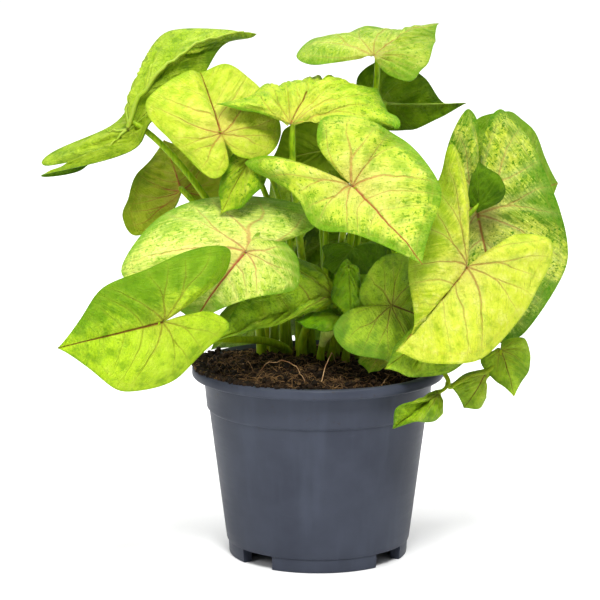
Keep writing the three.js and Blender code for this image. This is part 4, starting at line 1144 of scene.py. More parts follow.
@dataclass
class LeafPiece:
    """One leaf as grown: blade, ribs under it and stalk, in one mesh.

    The relief's heights are in millimetres on a midrib of usual_length, its rates are bumps along the flat
    blade, and plain_joint, beside, ahead and crease are lengths on it. Each rib has its angle from the midrib
    in degrees, the share of the blade that it reaches and its radius in millimetres.
    """

    leaf: Leaf
    dress: Dress
    thickness: float = 0.5
    usual_length: float = 60.0
    quilt: float = 1.5
    fold: float = 2.4
    fold_rate: float = 2.6
    lump: float = 0.7
    lump_rate: float = 7.0
    blister: float = 1.1
    blister_rate: float = 15.0
    groove: float = 0.6
    groove_width: float = 0.028
    rim_wave: float = 1.5
    plain_joint: float = 0.16
    beside: float = 0.03
    ahead: float = 0.004
    crease: float = 0.16
    ribs: tuple[Point, ...] = (
        (0, 0.92, 0.95), (142, 0.46, 0.55), (-142, 0.46, 0.55), (72, 0.42, 0.4), (-72, 0.42, 0.4),
    )
    rib_from: float = 0.02
    rib_steps: int = 22
    rib_taper: float = 0.8
    rib_sunk: float = 0.85
    stalk_steps: int = 26
    stalk_flare: float = 0.25
    flare_reach: float = 0.13
    neck_from: float = 0.93
    neck_taper: float = 0.25
    sheath_from: int = 6
    sheath_swell: tuple[float, ...] = (1.05, 1.15, 1.3, 1.5, 1.7, 1.95, 2.1, 2.15, 1.9, 1.05)
    sharp_angle: float = math.radians(55)

    def __post_init__(self) -> None:
        """Work out the blade's surface and the side of its upper face."""
        self.blade = Blade(self.leaf)
        self.up = -self.blade.whole if self.leaf.turned else self.blade.whole
        self.scale = self.blade.midrib.length / self.usual_length

    def blade_mesh(self, bm: bmesh.types.BMesh) -> None:
        """Raise the thin blade with its relief in an empty mesh.

        Args:
            bm: The mesh that takes the blade.
        """
        spokes, rings = self.leaf.size.value
        flat_map = bm.loops.layers.uv.new("flat")
        rim_map = bm.loops.layers.uv.new("rim")
        bmesh.ops.create_grid(bm, x_segments=spokes, y_segments=rings, size=0.5)
        along = bm.verts.layers.float.new("along")
        across = bm.verts.layers.float.new("across")
        outward = bm.verts.layers.float.new("outward")
        round_rim = bm.verts.layers.float.new("round_rim")
        for vert in bm.verts:
            turn = vert.co.x + 0.5
            out = math.sin((vert.co.y + 0.5) * math.pi / 2)
            a, b = through(HALF_OUTLINE, turn * 2 if turn <= 0.5 else 2 - turn * 2)
            b = b if turn <= 0.5 else -b
            vert[along] = HUB + out * (a - HUB)
            vert[across] = out * b
            vert[outward] = out
            vert[round_rim] = turn
        for face in bm.faces:
            for loop in face.loops:
                loop[flat_map].uv = (loop.vert[along], loop.vert[across])
                loop[rim_map].uv = (loop.vert[outward], loop.vert[round_rim])
        for vert in bm.verts:
            vert.co = place(self.blade.point(vert[along], vert[across]))
        bmesh.ops.remove_doubles(bm, verts=bm.verts, dist=2e-6)
        if sum((face.normal * face.calc_area()).dot(self.up) for face in bm.faces) < 0:
            bmesh.ops.reverse_faces(bm, faces=bm.faces)
        bm.normal_update()
        lift = {}
        for vert in bm.verts:
            height = self.relief(vert[along], vert[across], vert[outward], vert[round_rim]) * MM
            near = max(1 - abs(vert[across]) / self.crease, 0)
            out_of = vert.normal
            if near:
                out_of = vert.normal.lerp(self.up_at(max(vert[along], self.beside), 0), near).normalized()
            lift[vert] = out_of * height
        for vert, move in lift.items():
            vert.co += move
        self.thicken(bm)

    def thicken(self, bm: bmesh.types.BMesh) -> None:
        """Give the blade its thickness, with the underside as the second material.

        Args:
            bm: The mesh of the blade.
        """
        outward = bm.verts.layers.float_vector.new("outward_normal")
        for vert in bm.verts:
            vert[outward] = vert.normal
        under = list(bm.faces)
        grown = bmesh.ops.extrude_face_region(bm, geom=under, use_keep_orig=True)
        upper = {element for element in grown["geom"] if isinstance(element, bmesh.types.BMVert)}
        for vert in bm.verts:
            vert.co += vert[outward] * (self.thickness * MM * (0.5 if vert in upper else -0.5))
        bmesh.ops.reverse_faces(bm, faces=under)
        for face in under:
            face.material_index = 1

    def relief(self, along: float, across: float, out: float, turn: float) -> float:
        """Height of the blade's relief.

        Args:
            along: Flat coordinate along the midrib.
            across: Flat coordinate across it.
            out: Share of the way to the rim.
            turn: Place round the rim, 0 to 1.

        Returns:
            The height in millimetres above the smooth blade.
        """
        def bumps(rate: float) -> float:
            """Even noise over the flat blade."""
            return noise.noise(Vector((along * rate, across * rate, self.wave_seed)))

        near = min(math.hypot(along, across) / self.plain_joint, 1)
        phase, spread = vein_phase(along, across)
        inside = 1 - out**5
        quilt = (0.5 - 0.5 * math.cos(2 * math.pi * phase)) * spread * inside
        behind = 1 if along > 0 else math.exp(-((along / 0.05) ** 2))
        groove = math.exp(-((across / self.groove_width) ** 2)) * behind
        whole_turn = turn * math.pi * 2
        wave = math.sin(whole_turn * 7 + self.wave_seed) + 0.6 * math.sin(whole_turn * 13)
        rim = out**6 * math.sin(whole_turn) ** 2
        return self.dress.relief * near**2 * self.scale * (
            self.quilt * (quilt + self.lump * bumps(self.lump_rate) * inside)
            + self.fold * bumps(self.fold_rate) * (1 - out**8)
            + self.blister * bumps(self.blister_rate) * inside
            - self.groove * groove + self.rim_wave * wave * rim * 0.5
        )

    @property
    def wave_seed(self) -> float:
        """A fixed number of this leaf that shifts its waves."""
        return (self.leaf.sinus[0] * 0.37 + self.leaf.sinus[2] * 0.11) % 6.28

    def up_at(self, along: float, across: float) -> Vector:
        """Direction out of the upper face, taken over a small width so that a fold gives its middle.

        Args:
            along: Flat coordinate along the midrib.
            across: Flat coordinate across it.

        Returns:
            The direction, of length 1.
        """
        ahead = self.blade.point(along + self.ahead, across) - self.blade.point(along, across)
        aside = self.blade.point(along, across + self.beside) - self.blade.point(along, across - self.beside)
        up = ahead.cross(aside).normalized()
        return up if up.dot(self.up) > 0 else -up

    def rib_paths(self) -> list[list[tuple[Vector, float]]]:
        """Raised ribs on the underside: the midrib, and on each half one into the lobe and one beside it.

        Returns:
            For each rib its path with radii, in metres.
        """
        paths = []
        for angle, reach, radius in self.ribs:
            path = []
            for k in range(self.rib_steps + 1):
                out = self.rib_from + (reach - self.rib_from) * k / self.rib_steps
                bend = math.radians(abs(angle)) - (FAN_BEND * out if angle else 0)
                a, b = out * math.cos(bend), math.copysign(out * math.sin(bend), angle)
                if not angle:
                    a, b = out, 0
                here = self.blade.point(a, b)
                down = -self.up_at(a, b)
                edge = quick_radius(abs(math.degrees(math.atan2(b, a))))
                here = here - down * self.relief(a, b, min(out / edge, 1), 0)
                size = radius * self.scale * (1 - self.rib_taper * k / self.rib_steps)
                drop = self.thickness / 2 + size * self.rib_sunk
                path.append((place(here + down * drop), size * MM))
            paths.append(path)
        return paths

    def stalk_tube(self) -> list[tuple[Vector, float]]:
        """The stalk, flared at its foot and narrowed at its neck.

        Returns:
            Its path with radii, in metres.
        """
        radii = STALKS[self.leaf.size]
        path = self.blade.stalk_path(self.leaf, self.stalk_steps)
        last = len(path) - 1
        tube = []
        for k, point in enumerate(path):
            share = k / last
            radius = radii.foot + (radii.tip - radii.foot) * share
            radius *= 1 + self.stalk_flare * math.exp(-((share / self.flare_reach) ** 2))
            radius *= 1 - self.neck_taper * max(0, share - self.neck_from) / (1 - self.neck_from)
            tube.append((place(point), radius * MM))
        return tube

    def sheath_tube(self) -> list[tuple[Vector, float]]:
        """The papery sheath round the lower stalk: narrow below, wide above, drawn in at its mouth.

        Returns:
            Its path with radii, in metres.
        """
        stalk = self.stalk_tube()[self.sheath_from:]
        return [(spot, radius * swell) for (spot, radius), swell in zip(stalk, self.sheath_swell)]

    @staticmethod
    def add_tubes(bm: bmesh.types.BMesh, paths: list[list[tuple[Vector, float]]], index: int) -> None:
        """Add round tubes to a mesh with one of its materials.

        Args:
            bm: The mesh.
            paths: The tubes' points and radii in metres.
            index: The material's place in the mesh's list.
        """
        before = len(bm.faces)
        round_mesh = tubes(paths, 3)
        bm.from_mesh(round_mesh)
        bpy.data.meshes.remove(round_mesh)
        bm.faces.ensure_lookup_table()
        for face in bm.faces[before:]:
            face.material_index = index

    def build(self) -> bpy.types.Object:
        """Make the leaf's piece and give its object.

        Returns:
            The piece.
        """
        bm = bmesh.new()
        self.blade_mesh(bm)
        self.add_tubes(bm, self.rib_paths(), 3)
        self.add_tubes(bm, [self.stalk_tube()], 2)
        if self.dress.sheath:
            self.add_tubes(bm, [self.sheath_tube()], 4)
        mesh = mesh_of(bm, self.leaf.name, smooth=True)
        mesh.set_sharp_from_angle(angle=self.sharp_angle)
        for material in (
            leaf_material(self.dress.upper, Face.UPPER), leaf_material(self.dress.under, Face.UNDER),
            stalk_material(self.dress.stalk), rib_material(self.dress.under), stalk_material(PALE_STALK),
        ):
            mesh.materials.append(material)
        return finish_piece(self.leaf.name + "_grown", mesh, (self.leaf.name,))


RUNNER_DRESS = Dress(MID, UNDER_LIME, GREEN_STALK)

DRESSES = {
    "leaf_front_centre": Dress(LIME, UNDER_LIME, GREEN_STALK),
    "leaf_front_left": Dress(TWO_TONE, UNDER_LIME, GREEN_STALK),
    "leaf_middle_left": Dress(CREAM, UNDER_LIME, GREEN_STALK),
    "leaf_upper_yellow": Dress(YELLOW, UNDER_LIME, GREEN_STALK),
    "leaf_top_arched": Dress(FRESH, UNDER_LIME, GREEN_STALK),
    "leaf_top_right": Dress(PALE, UNDER_OLIVE, GREEN_STALK),
    "leaf_upper_left": Dress(DEEP_IN_SHADE, UNDER_OLIVE, GREEN_STALK, 1.3),
    "leaf_left_behind": Dress(MID, UNDER_PINK, GREEN_STALK),
    "leaf_hanging_small": Dress(FRESH, UNDER_LIME, GREEN_STALK),
    "leaf_under_top": Dress(MID, UNDER_LIME, GREEN_STALK),
    "leaf_dark_right_top": Dress(DEEP_IN_SHADE, UNDER_DEEP_IN_SHADE, GREEN_STALK),
    "leaf_right_mottled": Dress(SPECKLED, UNDER_LIME, GREEN_STALK),
    "leaf_right_behind": Dress(PALE, UNDER_LIME, GREEN_STALK),
    "leaf_right_curled": Dress(DEEP_IN_SHADE, UNDER_OLIVE, GREEN_STALK),
    "leaf_right_front": Dress(GOLD, UNDER_OLIVE, GREEN_STALK),
    "leaf_right_under": Dress(MID, UNDER_OLIVE, GREEN_STALK),
    "leaf_centre_right": Dress(MID, UNDER_LIME, GREEN_STALK),
    "leaf_centre_right_small": Dress(LIME, UNDER_LIME, GREEN_STALK),
    "leaf_centre_narrow": Dress(GLOSSY, UNDER_LIME, GREEN_STALK),
    "leaf_centre_dark": Dress(DEEP_IN_SHADE, UNDER_DEEP_IN_SHADE, GREEN_STALK),
    "leaf_low_left": Dress(MID, UNDER_LIME, GREEN_STALK),
    "leaf_low_centre": Dress(GLOSSY, UNDER_LIME, GREEN_STALK, sheath=True),
    "leaf_back_low_left": Dress(DEEP_IN_SHADE, UNDER_DEEP_IN_SHADE, GREEN_STALK),
    "leaf_back_left": Dress(DEEP_IN_SHADE, UNDER_OLIVE, GREEN_STALK),
    "leaf_back_centre": Dress(MID, UNDER_OLIVE, GREEN_STALK),
    "leaf_back_right": Dress(MID, UNDER_LIME, GREEN_STALK),
    "leaf_back_low": Dress(DEEP_IN_SHADE, UNDER_DEEP_IN_SHADE, GREEN_STALK),
}


@dataclass(frozen=True)
class PlasticLook:
    """Colours of the pot's plastic, linear, with the x in metres from its axis where painted shade of its
    left and right sides begins and where it is full.
    """

    dark: Point = (0.047, 0.053, 0.072)
    light: Point = (0.061, 0.069, 0.092)
    # Lighter colour of the vertical streaks, a painted sheen of the lamps on the wall.
    streak: Point = (0.078, 0.09, 0.12)
    # Painted shade of the pot's left and right sides.
    painted_side_shade: Point = (0.03, 0.035, 0.049)
    scuff: Point = (0.085, 0.095, 0.12)
    dried_soil: Point = (0.05, 0.036, 0.02)
    side_shade_from: float = 0.034
    side_shade_to: float = 0.05
    gloss: float = 0.14


@dataclass(frozen=True)
class Pot:
    """The nursery pot: a turned shell with a rolled rim, a ring step, four feet and drain holes.

    Sizes are in millimetres.
    The gaps between its feet are at gap_angles, in degrees from the front.
    """

    look: PlasticLook
    height: float = 91.0
    rim_radius: float = 60.0
    rim_height: float = 5.0
    rim_roll: float = 1.5
    rim_flat: float = 3.4
    band_top_radius: float = 54.4
    band_foot_radius: float = 53.0
    band_foot_z: float = 71.5
    body_top_radius: float = 51.9
    body_foot_radius: float = 43.8
    body_foot_z: float = 6.5
    foot_radius: float = 42.6
    foot_width: float = 4.5
    gap_angles: tuple[float, ...] = (-43, 52, 137, 227)
    gap_width: float = 18.5
    wall: float = 1.3
    floor: float = 1.6
    drains: int = 6
    drain_radius: float = 3.0
    drain_circle: float = 28.0
    drain_z: float = 7.3
    drain_depth: float = 8.0
    segments: int = 192
    edge_round: float = 0.25
    edge_angle: float = math.radians(50)
    sharp_angle: float = math.radians(40)

    def shell_profile(self) -> list[Flat]:
        """Closed section of the wall, rim and floor as (radius, height).

        Returns:
            Its points from the axis, in millimetres.
        """
        rim_foot = self.height - self.rim_height
        roll = self.rim_roll
        body_foot = self.body_foot_z + 1.2
        band_foot = self.band_foot_z - 1.2
        profile = [(0, self.body_foot_z), (self.body_foot_radius - 1.2, self.body_foot_z),
                   (self.body_foot_radius - 0.3, self.body_foot_z + 0.35),
                   (self.body_foot_radius, body_foot)]
        for k in range(1, 13):
            t = k / 12
            radius = self.body_foot_radius + (self.body_top_radius - self.body_foot_radius) * t
            profile.append((radius, body_foot + (band_foot - body_foot) * t))
        profile += [(self.band_foot_radius - 0.35, self.band_foot_z - 0.55),
                    (self.band_foot_radius, self.band_foot_z),
                    (self.band_foot_radius + 0.05, self.band_foot_z + 0.6),
                    (self.band_top_radius - 0.1, rim_foot - 1.2),
                    (self.band_top_radius + 0.4, rim_foot - 0.3), (self.band_top_radius + 1.2, rim_foot)]
        for k in range(9):
            turn = math.radians(-90 + 180 * k / 8)
            centre_z = self.height - roll if k > 4 else rim_foot + roll
            profile.append((self.rim_radius - roll + roll * math.cos(turn), centre_z + roll * math.sin(turn)))
        inner = self.band_top_radius - self.wall
        profile += [(self.rim_radius - self.rim_flat, self.height - 0.15), (inner + 1.1, self.height - 1.0),
                    (inner + 0.2, self.height - 2.6), (inner, rim_foot - 1),
                    (self.body_top_radius - self.wall, band_foot),
                    (self.body_foot_radius - self.wall, self.body_foot_z + self.floor),
                    (0, self.body_foot_z + self.floor)]
        return profile

    def foot_profile(self) -> list[Flat]:
        """Closed section of the foot ring as (radius, height).

        Returns:
            Its points from the axis, in millimetres.
        """
        top = self.body_foot_z + 0.5
        return [(self.foot_radius - self.foot_width, 0.3), (self.foot_radius - self.foot_width + 0.3, 0),
                (self.foot_radius - 0.6, 0), (self.foot_radius - 0.1, 0.25), (self.foot_radius + 0.05, 0.9),
                (self.body_foot_radius - 0.8, top), (self.foot_radius - self.foot_width, top)]

    @staticmethod
    def profile_wire(bm: bmesh.types.BMesh, profile: list[Flat], closed: bool) -> list[object]:
        """Lay a section in the XZ plane.

        Args:
            bm: The shape that it is added to.
            profile: The section as (radius, height) in millimetres.
            closed: Whether its last point joins its first.

        Returns:
            Its vertices and edges.
        """
        verts = [bm.verts.new((radius * MM, 0, z * MM)) for radius, z in profile]
        pairs = list(zip(verts, verts[1:]))
        if closed:
            pairs.append((verts[-1], verts[0]))
        return verts + [bm.edges.new(pair) for pair in pairs]

    def build(self) -> bpy.types.Object:
        """Turn the shell, spin the feet and cut the drain holes.

        Returns:
            The piece.
        """
        bm = bmesh.new()
        wire = self.profile_wire(bm, self.shell_profile(), closed=False)
        bmesh.ops.spin(bm, geom=wire, cent=(0, 0, 0), axis=(0, 0, 1), angle=2 * math.pi,
                       steps=self.segments, use_merge=True)
        bmesh.ops.remove_doubles(bm, verts=bm.verts, dist=1e-6)
        shell = self._closed(bm)
        feet = bmesh.new()
        half_gap = math.degrees(math.asin(self.gap_width / 2 / self.foot_radius))
        gaps = sorted(angle - 90 for angle in self.gap_angles)
        for start, stop in zip(gaps, gaps[1:] + [gaps[0] + 360]):
            first = math.radians(start + half_gap)
            sweep = math.radians(stop - start - 2 * half_gap)
            wire = self.profile_wire(feet, self.foot_profile(), closed=True)
            section = [feet.faces.new([v for v in wire if isinstance(v, bmesh.types.BMVert)])]
            bmesh.ops.rotate(feet, verts=section[0].verts, cent=(0, 0, 0),
                             matrix=Matrix.Rotation(first, 3, "Z"))
            bmesh.ops.spin(feet, geom=section, cent=(0, 0, 0), axis=(0, 0, 1), angle=sweep,
                           steps=max(8, round(math.degrees(sweep) / 2)), use_merge=False)
        bmesh.ops.remove_doubles(feet, verts=feet.verts, dist=1e-6)
        foot_mesh = self._closed(feet)
        cutter = bmesh.new()
        for k in range(self.drains):
            turn = (k + 0.5) / self.drains * 2 * math.pi
            x, y = self.drain_circle * math.cos(turn), self.drain_circle * math.sin(turn)
            spot = Vector((x, y, self.drain_z))
            bmesh.ops.create_cone(cutter, cap_ends=True, segments=32, radius1=self.drain_radius * MM,
                                  radius2=self.drain_radius * MM, depth=self.drain_depth * MM,
                                  matrix=Matrix.Translation(spot * MM))
        mesh = self._cut(shell, self._closed(cutter))
        whole = bmesh.new()
        whole.from_mesh(mesh)
        whole.from_mesh(foot_mesh)
        bmesh.ops.translate(whole, verts=whole.verts, vec=AXIS)
        for face in whole.faces:
            face.smooth = True
        whole.to_mesh(mesh)
        whole.free()
        bpy.data.meshes.remove(foot_mesh)
        mesh.set_sharp_from_angle(angle=self.sharp_angle)
        mesh.materials.clear()
        mesh.materials.append(self.plastic())
        piece = finish_piece("pot_moulding", mesh, ("pot",))
        rounding = piece.modifiers.new("edges", "BEVEL")
        rounding.width = self.edge_round * MM
        rounding.segments = 2
        rounding.limit_method = "ANGLE"
        rounding.angle_limit = self.edge_angle
        return piece

    @staticmethod
    def _closed(bm: bmesh.types.BMesh) -> bpy.types.Mesh:
        """Turn a closed shape's faces outwards and give its mesh."""
        bmesh.ops.recalc_face_normals(bm, faces=bm.faces)
        return mesh_of(bm, "shape")

    @staticmethod
    def _cut(mesh: bpy.types.Mesh, cutter: bpy.types.Mesh) -> bpy.types.Mesh:
        """Cut one closed mesh out of another.

        Args:
            mesh: What is cut.
            cutter: What is taken away.

        Returns:
            The cut mesh.
        """
        body = bpy.data.objects.new("body", mesh)
        tool = bpy.data.objects.new("tool", cutter)
        for made in (body, tool):
            bpy.context.scene.collection.objects.link(made)
        cut = body.modifiers.new("cut", "BOOLEAN")
        cut.operation = "DIFFERENCE"
        cut.object = tool
        bpy.context.view_layer.update()
        graph = bpy.context.evaluated_depsgraph_get()
        result = bpy.data.meshes.new_from_object(body.evaluated_get(graph))
        for made, old in ((body, mesh), (tool, cutter)):
            bpy.data.objects.remove(made)
            bpy.data.meshes.remove(old)
        return result

    def plastic(self) -> bpy.types.Material:
        """Dark slate moulded plastic, finely grained, with lighter vertical streaks of painted sheen, painted
        shade towards its left and right sides, scuffs and dried soil under the rim.

        Returns:
            The material.
        """
        material, g, shader = new_material("pot_plastic")
        spot = g.node("TexCoord").outputs["Object"]
        cloud = g.noise(spot, 26, 4, 0.6).outputs["Fac"]
        fine = g.noise(spot, 1500, 2).outputs["Fac"]
        scuff_at = g.node("Mapping")
        g.put(scuff_at.inputs[0], spot)
        scuff_at.inputs["Scale"].default_value = (1, 1, 9)
        scuff = g.noise(scuff_at.outputs[0], 60, 6, 0.7).outputs["Fac"]
        sheen_streak_space = g.node("Mapping")
        g.put(sheen_streak_space.inputs[0], spot)
        sheen_streak_space.inputs["Scale"].default_value = (1, 1, 0.06)
        drawn = g.noise(sheen_streak_space.outputs[0], 90, 3).outputs["Fac"]
        colour = g.mix(g.span(cloud, 0.3, 0.7), self.look.dark, self.look.light)
        # Painted sheen: lighter streaks drawn out up the wall.
        colour = g.mix(g.math("MULTIPLY", g.span(drawn, 0.5, 0.7), 0.3), colour, self.look.streak)
        around = g.node("VectorMath", operation="SUBTRACT")
        g.put(around.inputs[0], spot)
        around.inputs[1].default_value = tuple(AXIS)
        flat = g.node("SeparateXYZ")
        g.put(flat.inputs[0], around.outputs[0])
        away = g.span(g.math("ABSOLUTE", flat.outputs[0]), self.look.side_shade_from, self.look.side_shade_to)
        # Painted shade: the wall darkens towards the pot's left and right sides.
        colour = g.mix(g.math("MULTIPLY", away, 0.65), colour, self.look.painted_side_shade)
        colour = g.mix(g.math("MULTIPLY", g.span(scuff, 0.62, 0.75), 0.25), colour, self.look.scuff)
        height = g.node("SeparateXYZ")
        g.put(height.inputs[0], spot)
        dust = g.noise(spot, 240, 4, 0.7).outputs["Fac"]
        near_rim = g.span(height.outputs[2], 0.06, 0.088)
        dirt = g.math("MULTIPLY", g.span(dust, 0.6, 0.72), g.math("MULTIPLY", near_rim, 0.5))
        colour = g.mix(dirt, colour, self.look.dried_soil)
        g.put(shader.inputs["Base Color"], colour)
        rough = g.math("MULTIPLY_ADD", scuff, 0.2, 0.32)
        g.put(shader.inputs["Roughness"], rough)
        shader.inputs["Specular IOR Level"].default_value = self.look.gloss
        grain = g.math("MULTIPLY_ADD", fine, 0.6, g.math("MULTIPLY", scuff, 0.8))
        g.put(shader.inputs["Normal"], g.bump(grain, 0.00012, 0.35))
        return material


@dataclass(frozen=True)
class PeatLook:
    """Colours of the potting soil, linear: two of damp peat, one of drier crumbs and one of straw."""

    damp: Point = (0.007, 0.004, 0.0015)
    brown: Point = (0.03, 0.016, 0.006)
    dry: Point = (0.062, 0.035, 0.014)
    straw: Point = (0.2, 0.12, 0.05)


@dataclass(frozen=True)
class StrandLook:
    """Finish of thin strands: two linear colours in patches, with the range of noise between them."""

    name: str
    dark: Point
    light: Point
    patches: float
    low: float
    high: float
    rough: float
    grain: float
    grain_strength: float


COIR = StrandLook("coir", (0.07, 0.035, 0.011), (0.34, 0.2, 0.08), 160, 0.4, 0.68, 0.7, 0.0002, 0.5)
ROOT_SKIN = StrandLook("root_skin", (0.28, 0.13, 0.06), (0.5, 0.33, 0.17), 300, 0.35, 0.65, 0.55, 0.0001, 0.4)


def peat_material(look: PeatLook) -> bpy.types.Material:
    """Damp peat: browns in crumb-sized grains, quite rough, made once.

    Args:
        look: Its colours.

    Returns:
        The material.
    """
    found = bpy.data.materials.get("peat")
    if found:
        return found
    material, g, shader = new_material("peat")
    spot = g.node("TexCoord").outputs["Object"]
    cells = g.node("TexVoronoi")
    g.put(cells.inputs["Vector"], spot)
    cells.inputs["Scale"].default_value = 620
    cloud = g.noise(spot, 130, 5, 0.65).outputs["Fac"]
    tint = g.node("SeparateColor")
    g.put(tint.inputs[0], cells.outputs["Color"])
    colour = g.mix(g.span(cloud, 0.35, 0.7), look.damp, look.brown)
    colour = g.mix(g.math("MULTIPLY", g.span(tint.outputs[0], 0.55, 1.0), 0.7), colour, look.dry)
    colour = g.mix(g.math("MULTIPLY", g.span(tint.outputs[1], 0.9, 1.0), 0.8), colour, look.straw)
    g.put(shader.inputs["Base Color"], colour)
    g.put(shader.inputs["Roughness"], g.math("MULTIPLY_ADD", cloud, 0.3, 0.6))
    shader.inputs["Specular IOR Level"].default_value = 0.25
    grain = g.math("ADD", cells.outputs["Distance"], g.noise(spot, 900, 4, 0.7).outputs["Fac"])
    g.put(shader.inputs["Normal"], g.bump(grain, 0.0009, 0.9))
    return material


def strand_material(look: StrandLook) -> bpy.types.Material:
    """Finish of coir or of thin roots.

    Args:
        look: Its colours and grain.

    Returns:
        The material.
    """
    material, g, shader = new_material(look.name)
    spot = g.node("TexCoord").outputs["Object"]
    tone = g.noise(spot, look.patches, 3).outputs["Fac"]
    g.put(shader.inputs["Base Color"], g.mix(g.span(tone, look.low, look.high), look.dark, look.light))
    shader.inputs["Roughness"].default_value = look.rough
    g.put(shader.inputs["Normal"], g.bump(tone, look.grain, look.grain_strength))
    return material


@dataclass
class Soil:
    """Potting soil: a lumpy surface with crumbs, coir and thin pale roots lying on it, in millimetres.

    It is banked up towards bank_turn, where spilled crumbs lie on the rim. A share is of the soil's radius.
    Crumbs are added to the mesh in batches, which is quicker than one by one. Roots are points from the pot's
    axis, with their height over the soil.
    """

    pot: Pot
    peat: PeatLook
    edge_z: float = SOIL_Z
    mound: float = 5.6
    bank: float = 4.0
    bank_turn: float = math.radians(210)
    spill_turn: float = math.radians(210) - 0.2
    spill_spread: float = 0.4
    spilled: int = 1500
    spilled_size: float = 1.7
    rings: int = 56
    spokes: int = 150
    crumb_count: int = 3400
    crumb_least: float = 0.35
    crumb_range: float = 1.9
    crumb_share: float = 0.985
    batch: int = 50
    fibre_count: int = 1300
    fibre_length: Flat = (3, 15)
    fibre_radius: Flat = (0.08, 0.19)
    fibre_lift: Flat = (0.2, 2.6)
    fibre_steps: int = 6
    fibre_share: float = 0.97
    fibre_edge: float = 0.995
    root_steps: int = 18
    root_radius: float = 0.27
    root_taper: float = 0.12
    root_paths: tuple[tuple[Point, ...], ...] = (
        ((-29, -26, 0), (-22, -27, 5), (-14, -32, 6), (-9, -38, 4), (-6, -45, 0)),
        ((1, -44, 0), (3, -37, 5), (6, -29, 9), (8, -20, 4)),
        ((-38, -14, 0), (-33, -20, 3), (-30, -27, 0)),
        ((29, -39, 0), (31, -34, 3), (33, -27, 2), (30, -20, 0)),
        ((-8, 40, 0), (2, 43, 3), (12, 38, 1), (16, 30, 0)),
        ((-40, 12, 0), (-36, 20, 3), (-28, 24, 1)),
    )
    seed: int = 41

    def __post_init__(self) -> None:
        """Take the wall of the pot as the soil's edge, and start the random draws."""
        self.radius = self.pot.band_top_radius - self.pot.wall - 0.1
        self.random = random.Random(self.seed)

    def height(self, x: float, y: float) -> float:
        """Height of the soil at a point.

        Args:
            x: Distance to the right of the pot's axis.
            y: Distance behind it.

        Returns:
            The height over the ground.
        """
        out = min(math.hypot(x, y) / self.pot.band_top_radius, 1)
        lumps = math.sin(x * 0.21 + 1.3) * math.cos(y * 0.24 - 0.4) + 0.6 * math.sin(x * 0.47 - y * 0.38)
        rough = noise.fractal(Vector((x * 0.16, y * 0.16, 3.1)), 0.8, 2.1, 5)
        edge = min(1, (1 - out) * 12)
        bank = max(0, math.cos(math.atan2(y, x) - self.bank_turn)) * self.bank * out
        return self.edge_z + (1 - out**2) * (self.mound + 0.6 * lumps) + rough * 1.9 * edge + bank

    def bed(self) -> bpy.types.Object:
        """The body of the soil with its rough surface.

        Returns:
            The piece.
        """
        bm = bmesh.new()
        pot, inset = self.pot, self.pot.wall + 0.4
        floor = pot.body_foot_z + pot.floor + 0.3
        profile = [(0, floor), (pot.body_foot_radius - inset, floor),
                   (pot.body_top_radius - inset, pot.band_foot_z - 1.2)]
        profile += [(self.radius * k / self.rings, self.edge_z) for k in range(self.rings, -1, -1)]
        wire = Pot.profile_wire(bm, profile, closed=False)
        bmesh.ops.spin(bm, geom=wire, cent=(0, 0, 0), axis=(0, 0, 1), angle=2 * math.pi,
                       steps=self.spokes, use_merge=True)
        bmesh.ops.remove_doubles(bm, verts=bm.verts, dist=1e-6)
        for vert in bm.verts:
            if vert.co.z > (self.edge_z - 1) * MM:
                vert.co.z = self.height(vert.co.x / MM, vert.co.y / MM) * MM
        bmesh.ops.translate(bm, verts=bm.verts, vec=AXIS)
        bmesh.ops.recalc_face_normals(bm, faces=bm.faces)
        mesh = mesh_of(bm, "soil_bed", smooth=True)
        mesh.materials.append(peat_material(self.peat))
        return finish_piece("soil_bed", mesh, ("soil",))

    def spot(self, share: float) -> Flat:
        """Draw a random place on the soil.

        Args:
            share: How far out it may lie, as a share of the soil's radius.

        Returns:
            Its x and y from the pot's axis.
        """
        turn = self.random.uniform(0, 2 * math.pi)
        out = self.radius * share * math.sqrt(self.random.random())
        return out * math.cos(turn), out * math.sin(turn)

    def crumbs(self) -> bpy.types.Object:
        """Loose crumbs of peat, with those spilled on the rim after the others.

        Returns:
            The piece.
        """
        bm = bmesh.new()
        batch = bmesh.new()
        store = bpy.data.meshes.new("batch")
        flat_from = self.pot.rim_radius - self.pot.rim_flat
        for number in range(self.crumb_count + self.spilled):
            x, y = self.spot(self.crumb_share)
            size = self.crumb_least + self.crumb_range * self.random.random() ** 3
            z = self.height(x, y) + size * 0.25
            if number >= self.crumb_count:
                turn = self.spill_turn + self.random.gauss(0, self.spill_spread)
                out = self.random.uniform(self.radius, self.pot.rim_radius - 0.9)
                x, y, size = out * math.cos(turn), out * math.sin(turn), min(size, self.spilled_size)
                z = self.pot.height - max(flat_from - out, 0) * 0.6 + size * 0.3
            axis = Vector((x, y, 9)).normalized()
            shape = Matrix.LocRotScale(
                place(Vector((x, y, z))),
                Matrix.Rotation(self.random.uniform(0, 6.28), 3, axis).to_quaternion(),
                Vector((1, self.random.uniform(0.5, 1), self.random.uniform(0.5, 1))) * size * MM,
            )
            bmesh.ops.create_icosphere(batch, subdivisions=1, radius=1, matrix=shape)
            if number % self.batch == self.batch - 1:
                batch.to_mesh(store)
                bm.from_mesh(store)
                batch.clear()
        batch.free()
        bpy.data.meshes.remove(store)
        mesh = mesh_of(bm, "soil_crumbs")
        mesh.materials.append(peat_material(self.peat))
        return finish_piece("soil_crumbs", mesh)

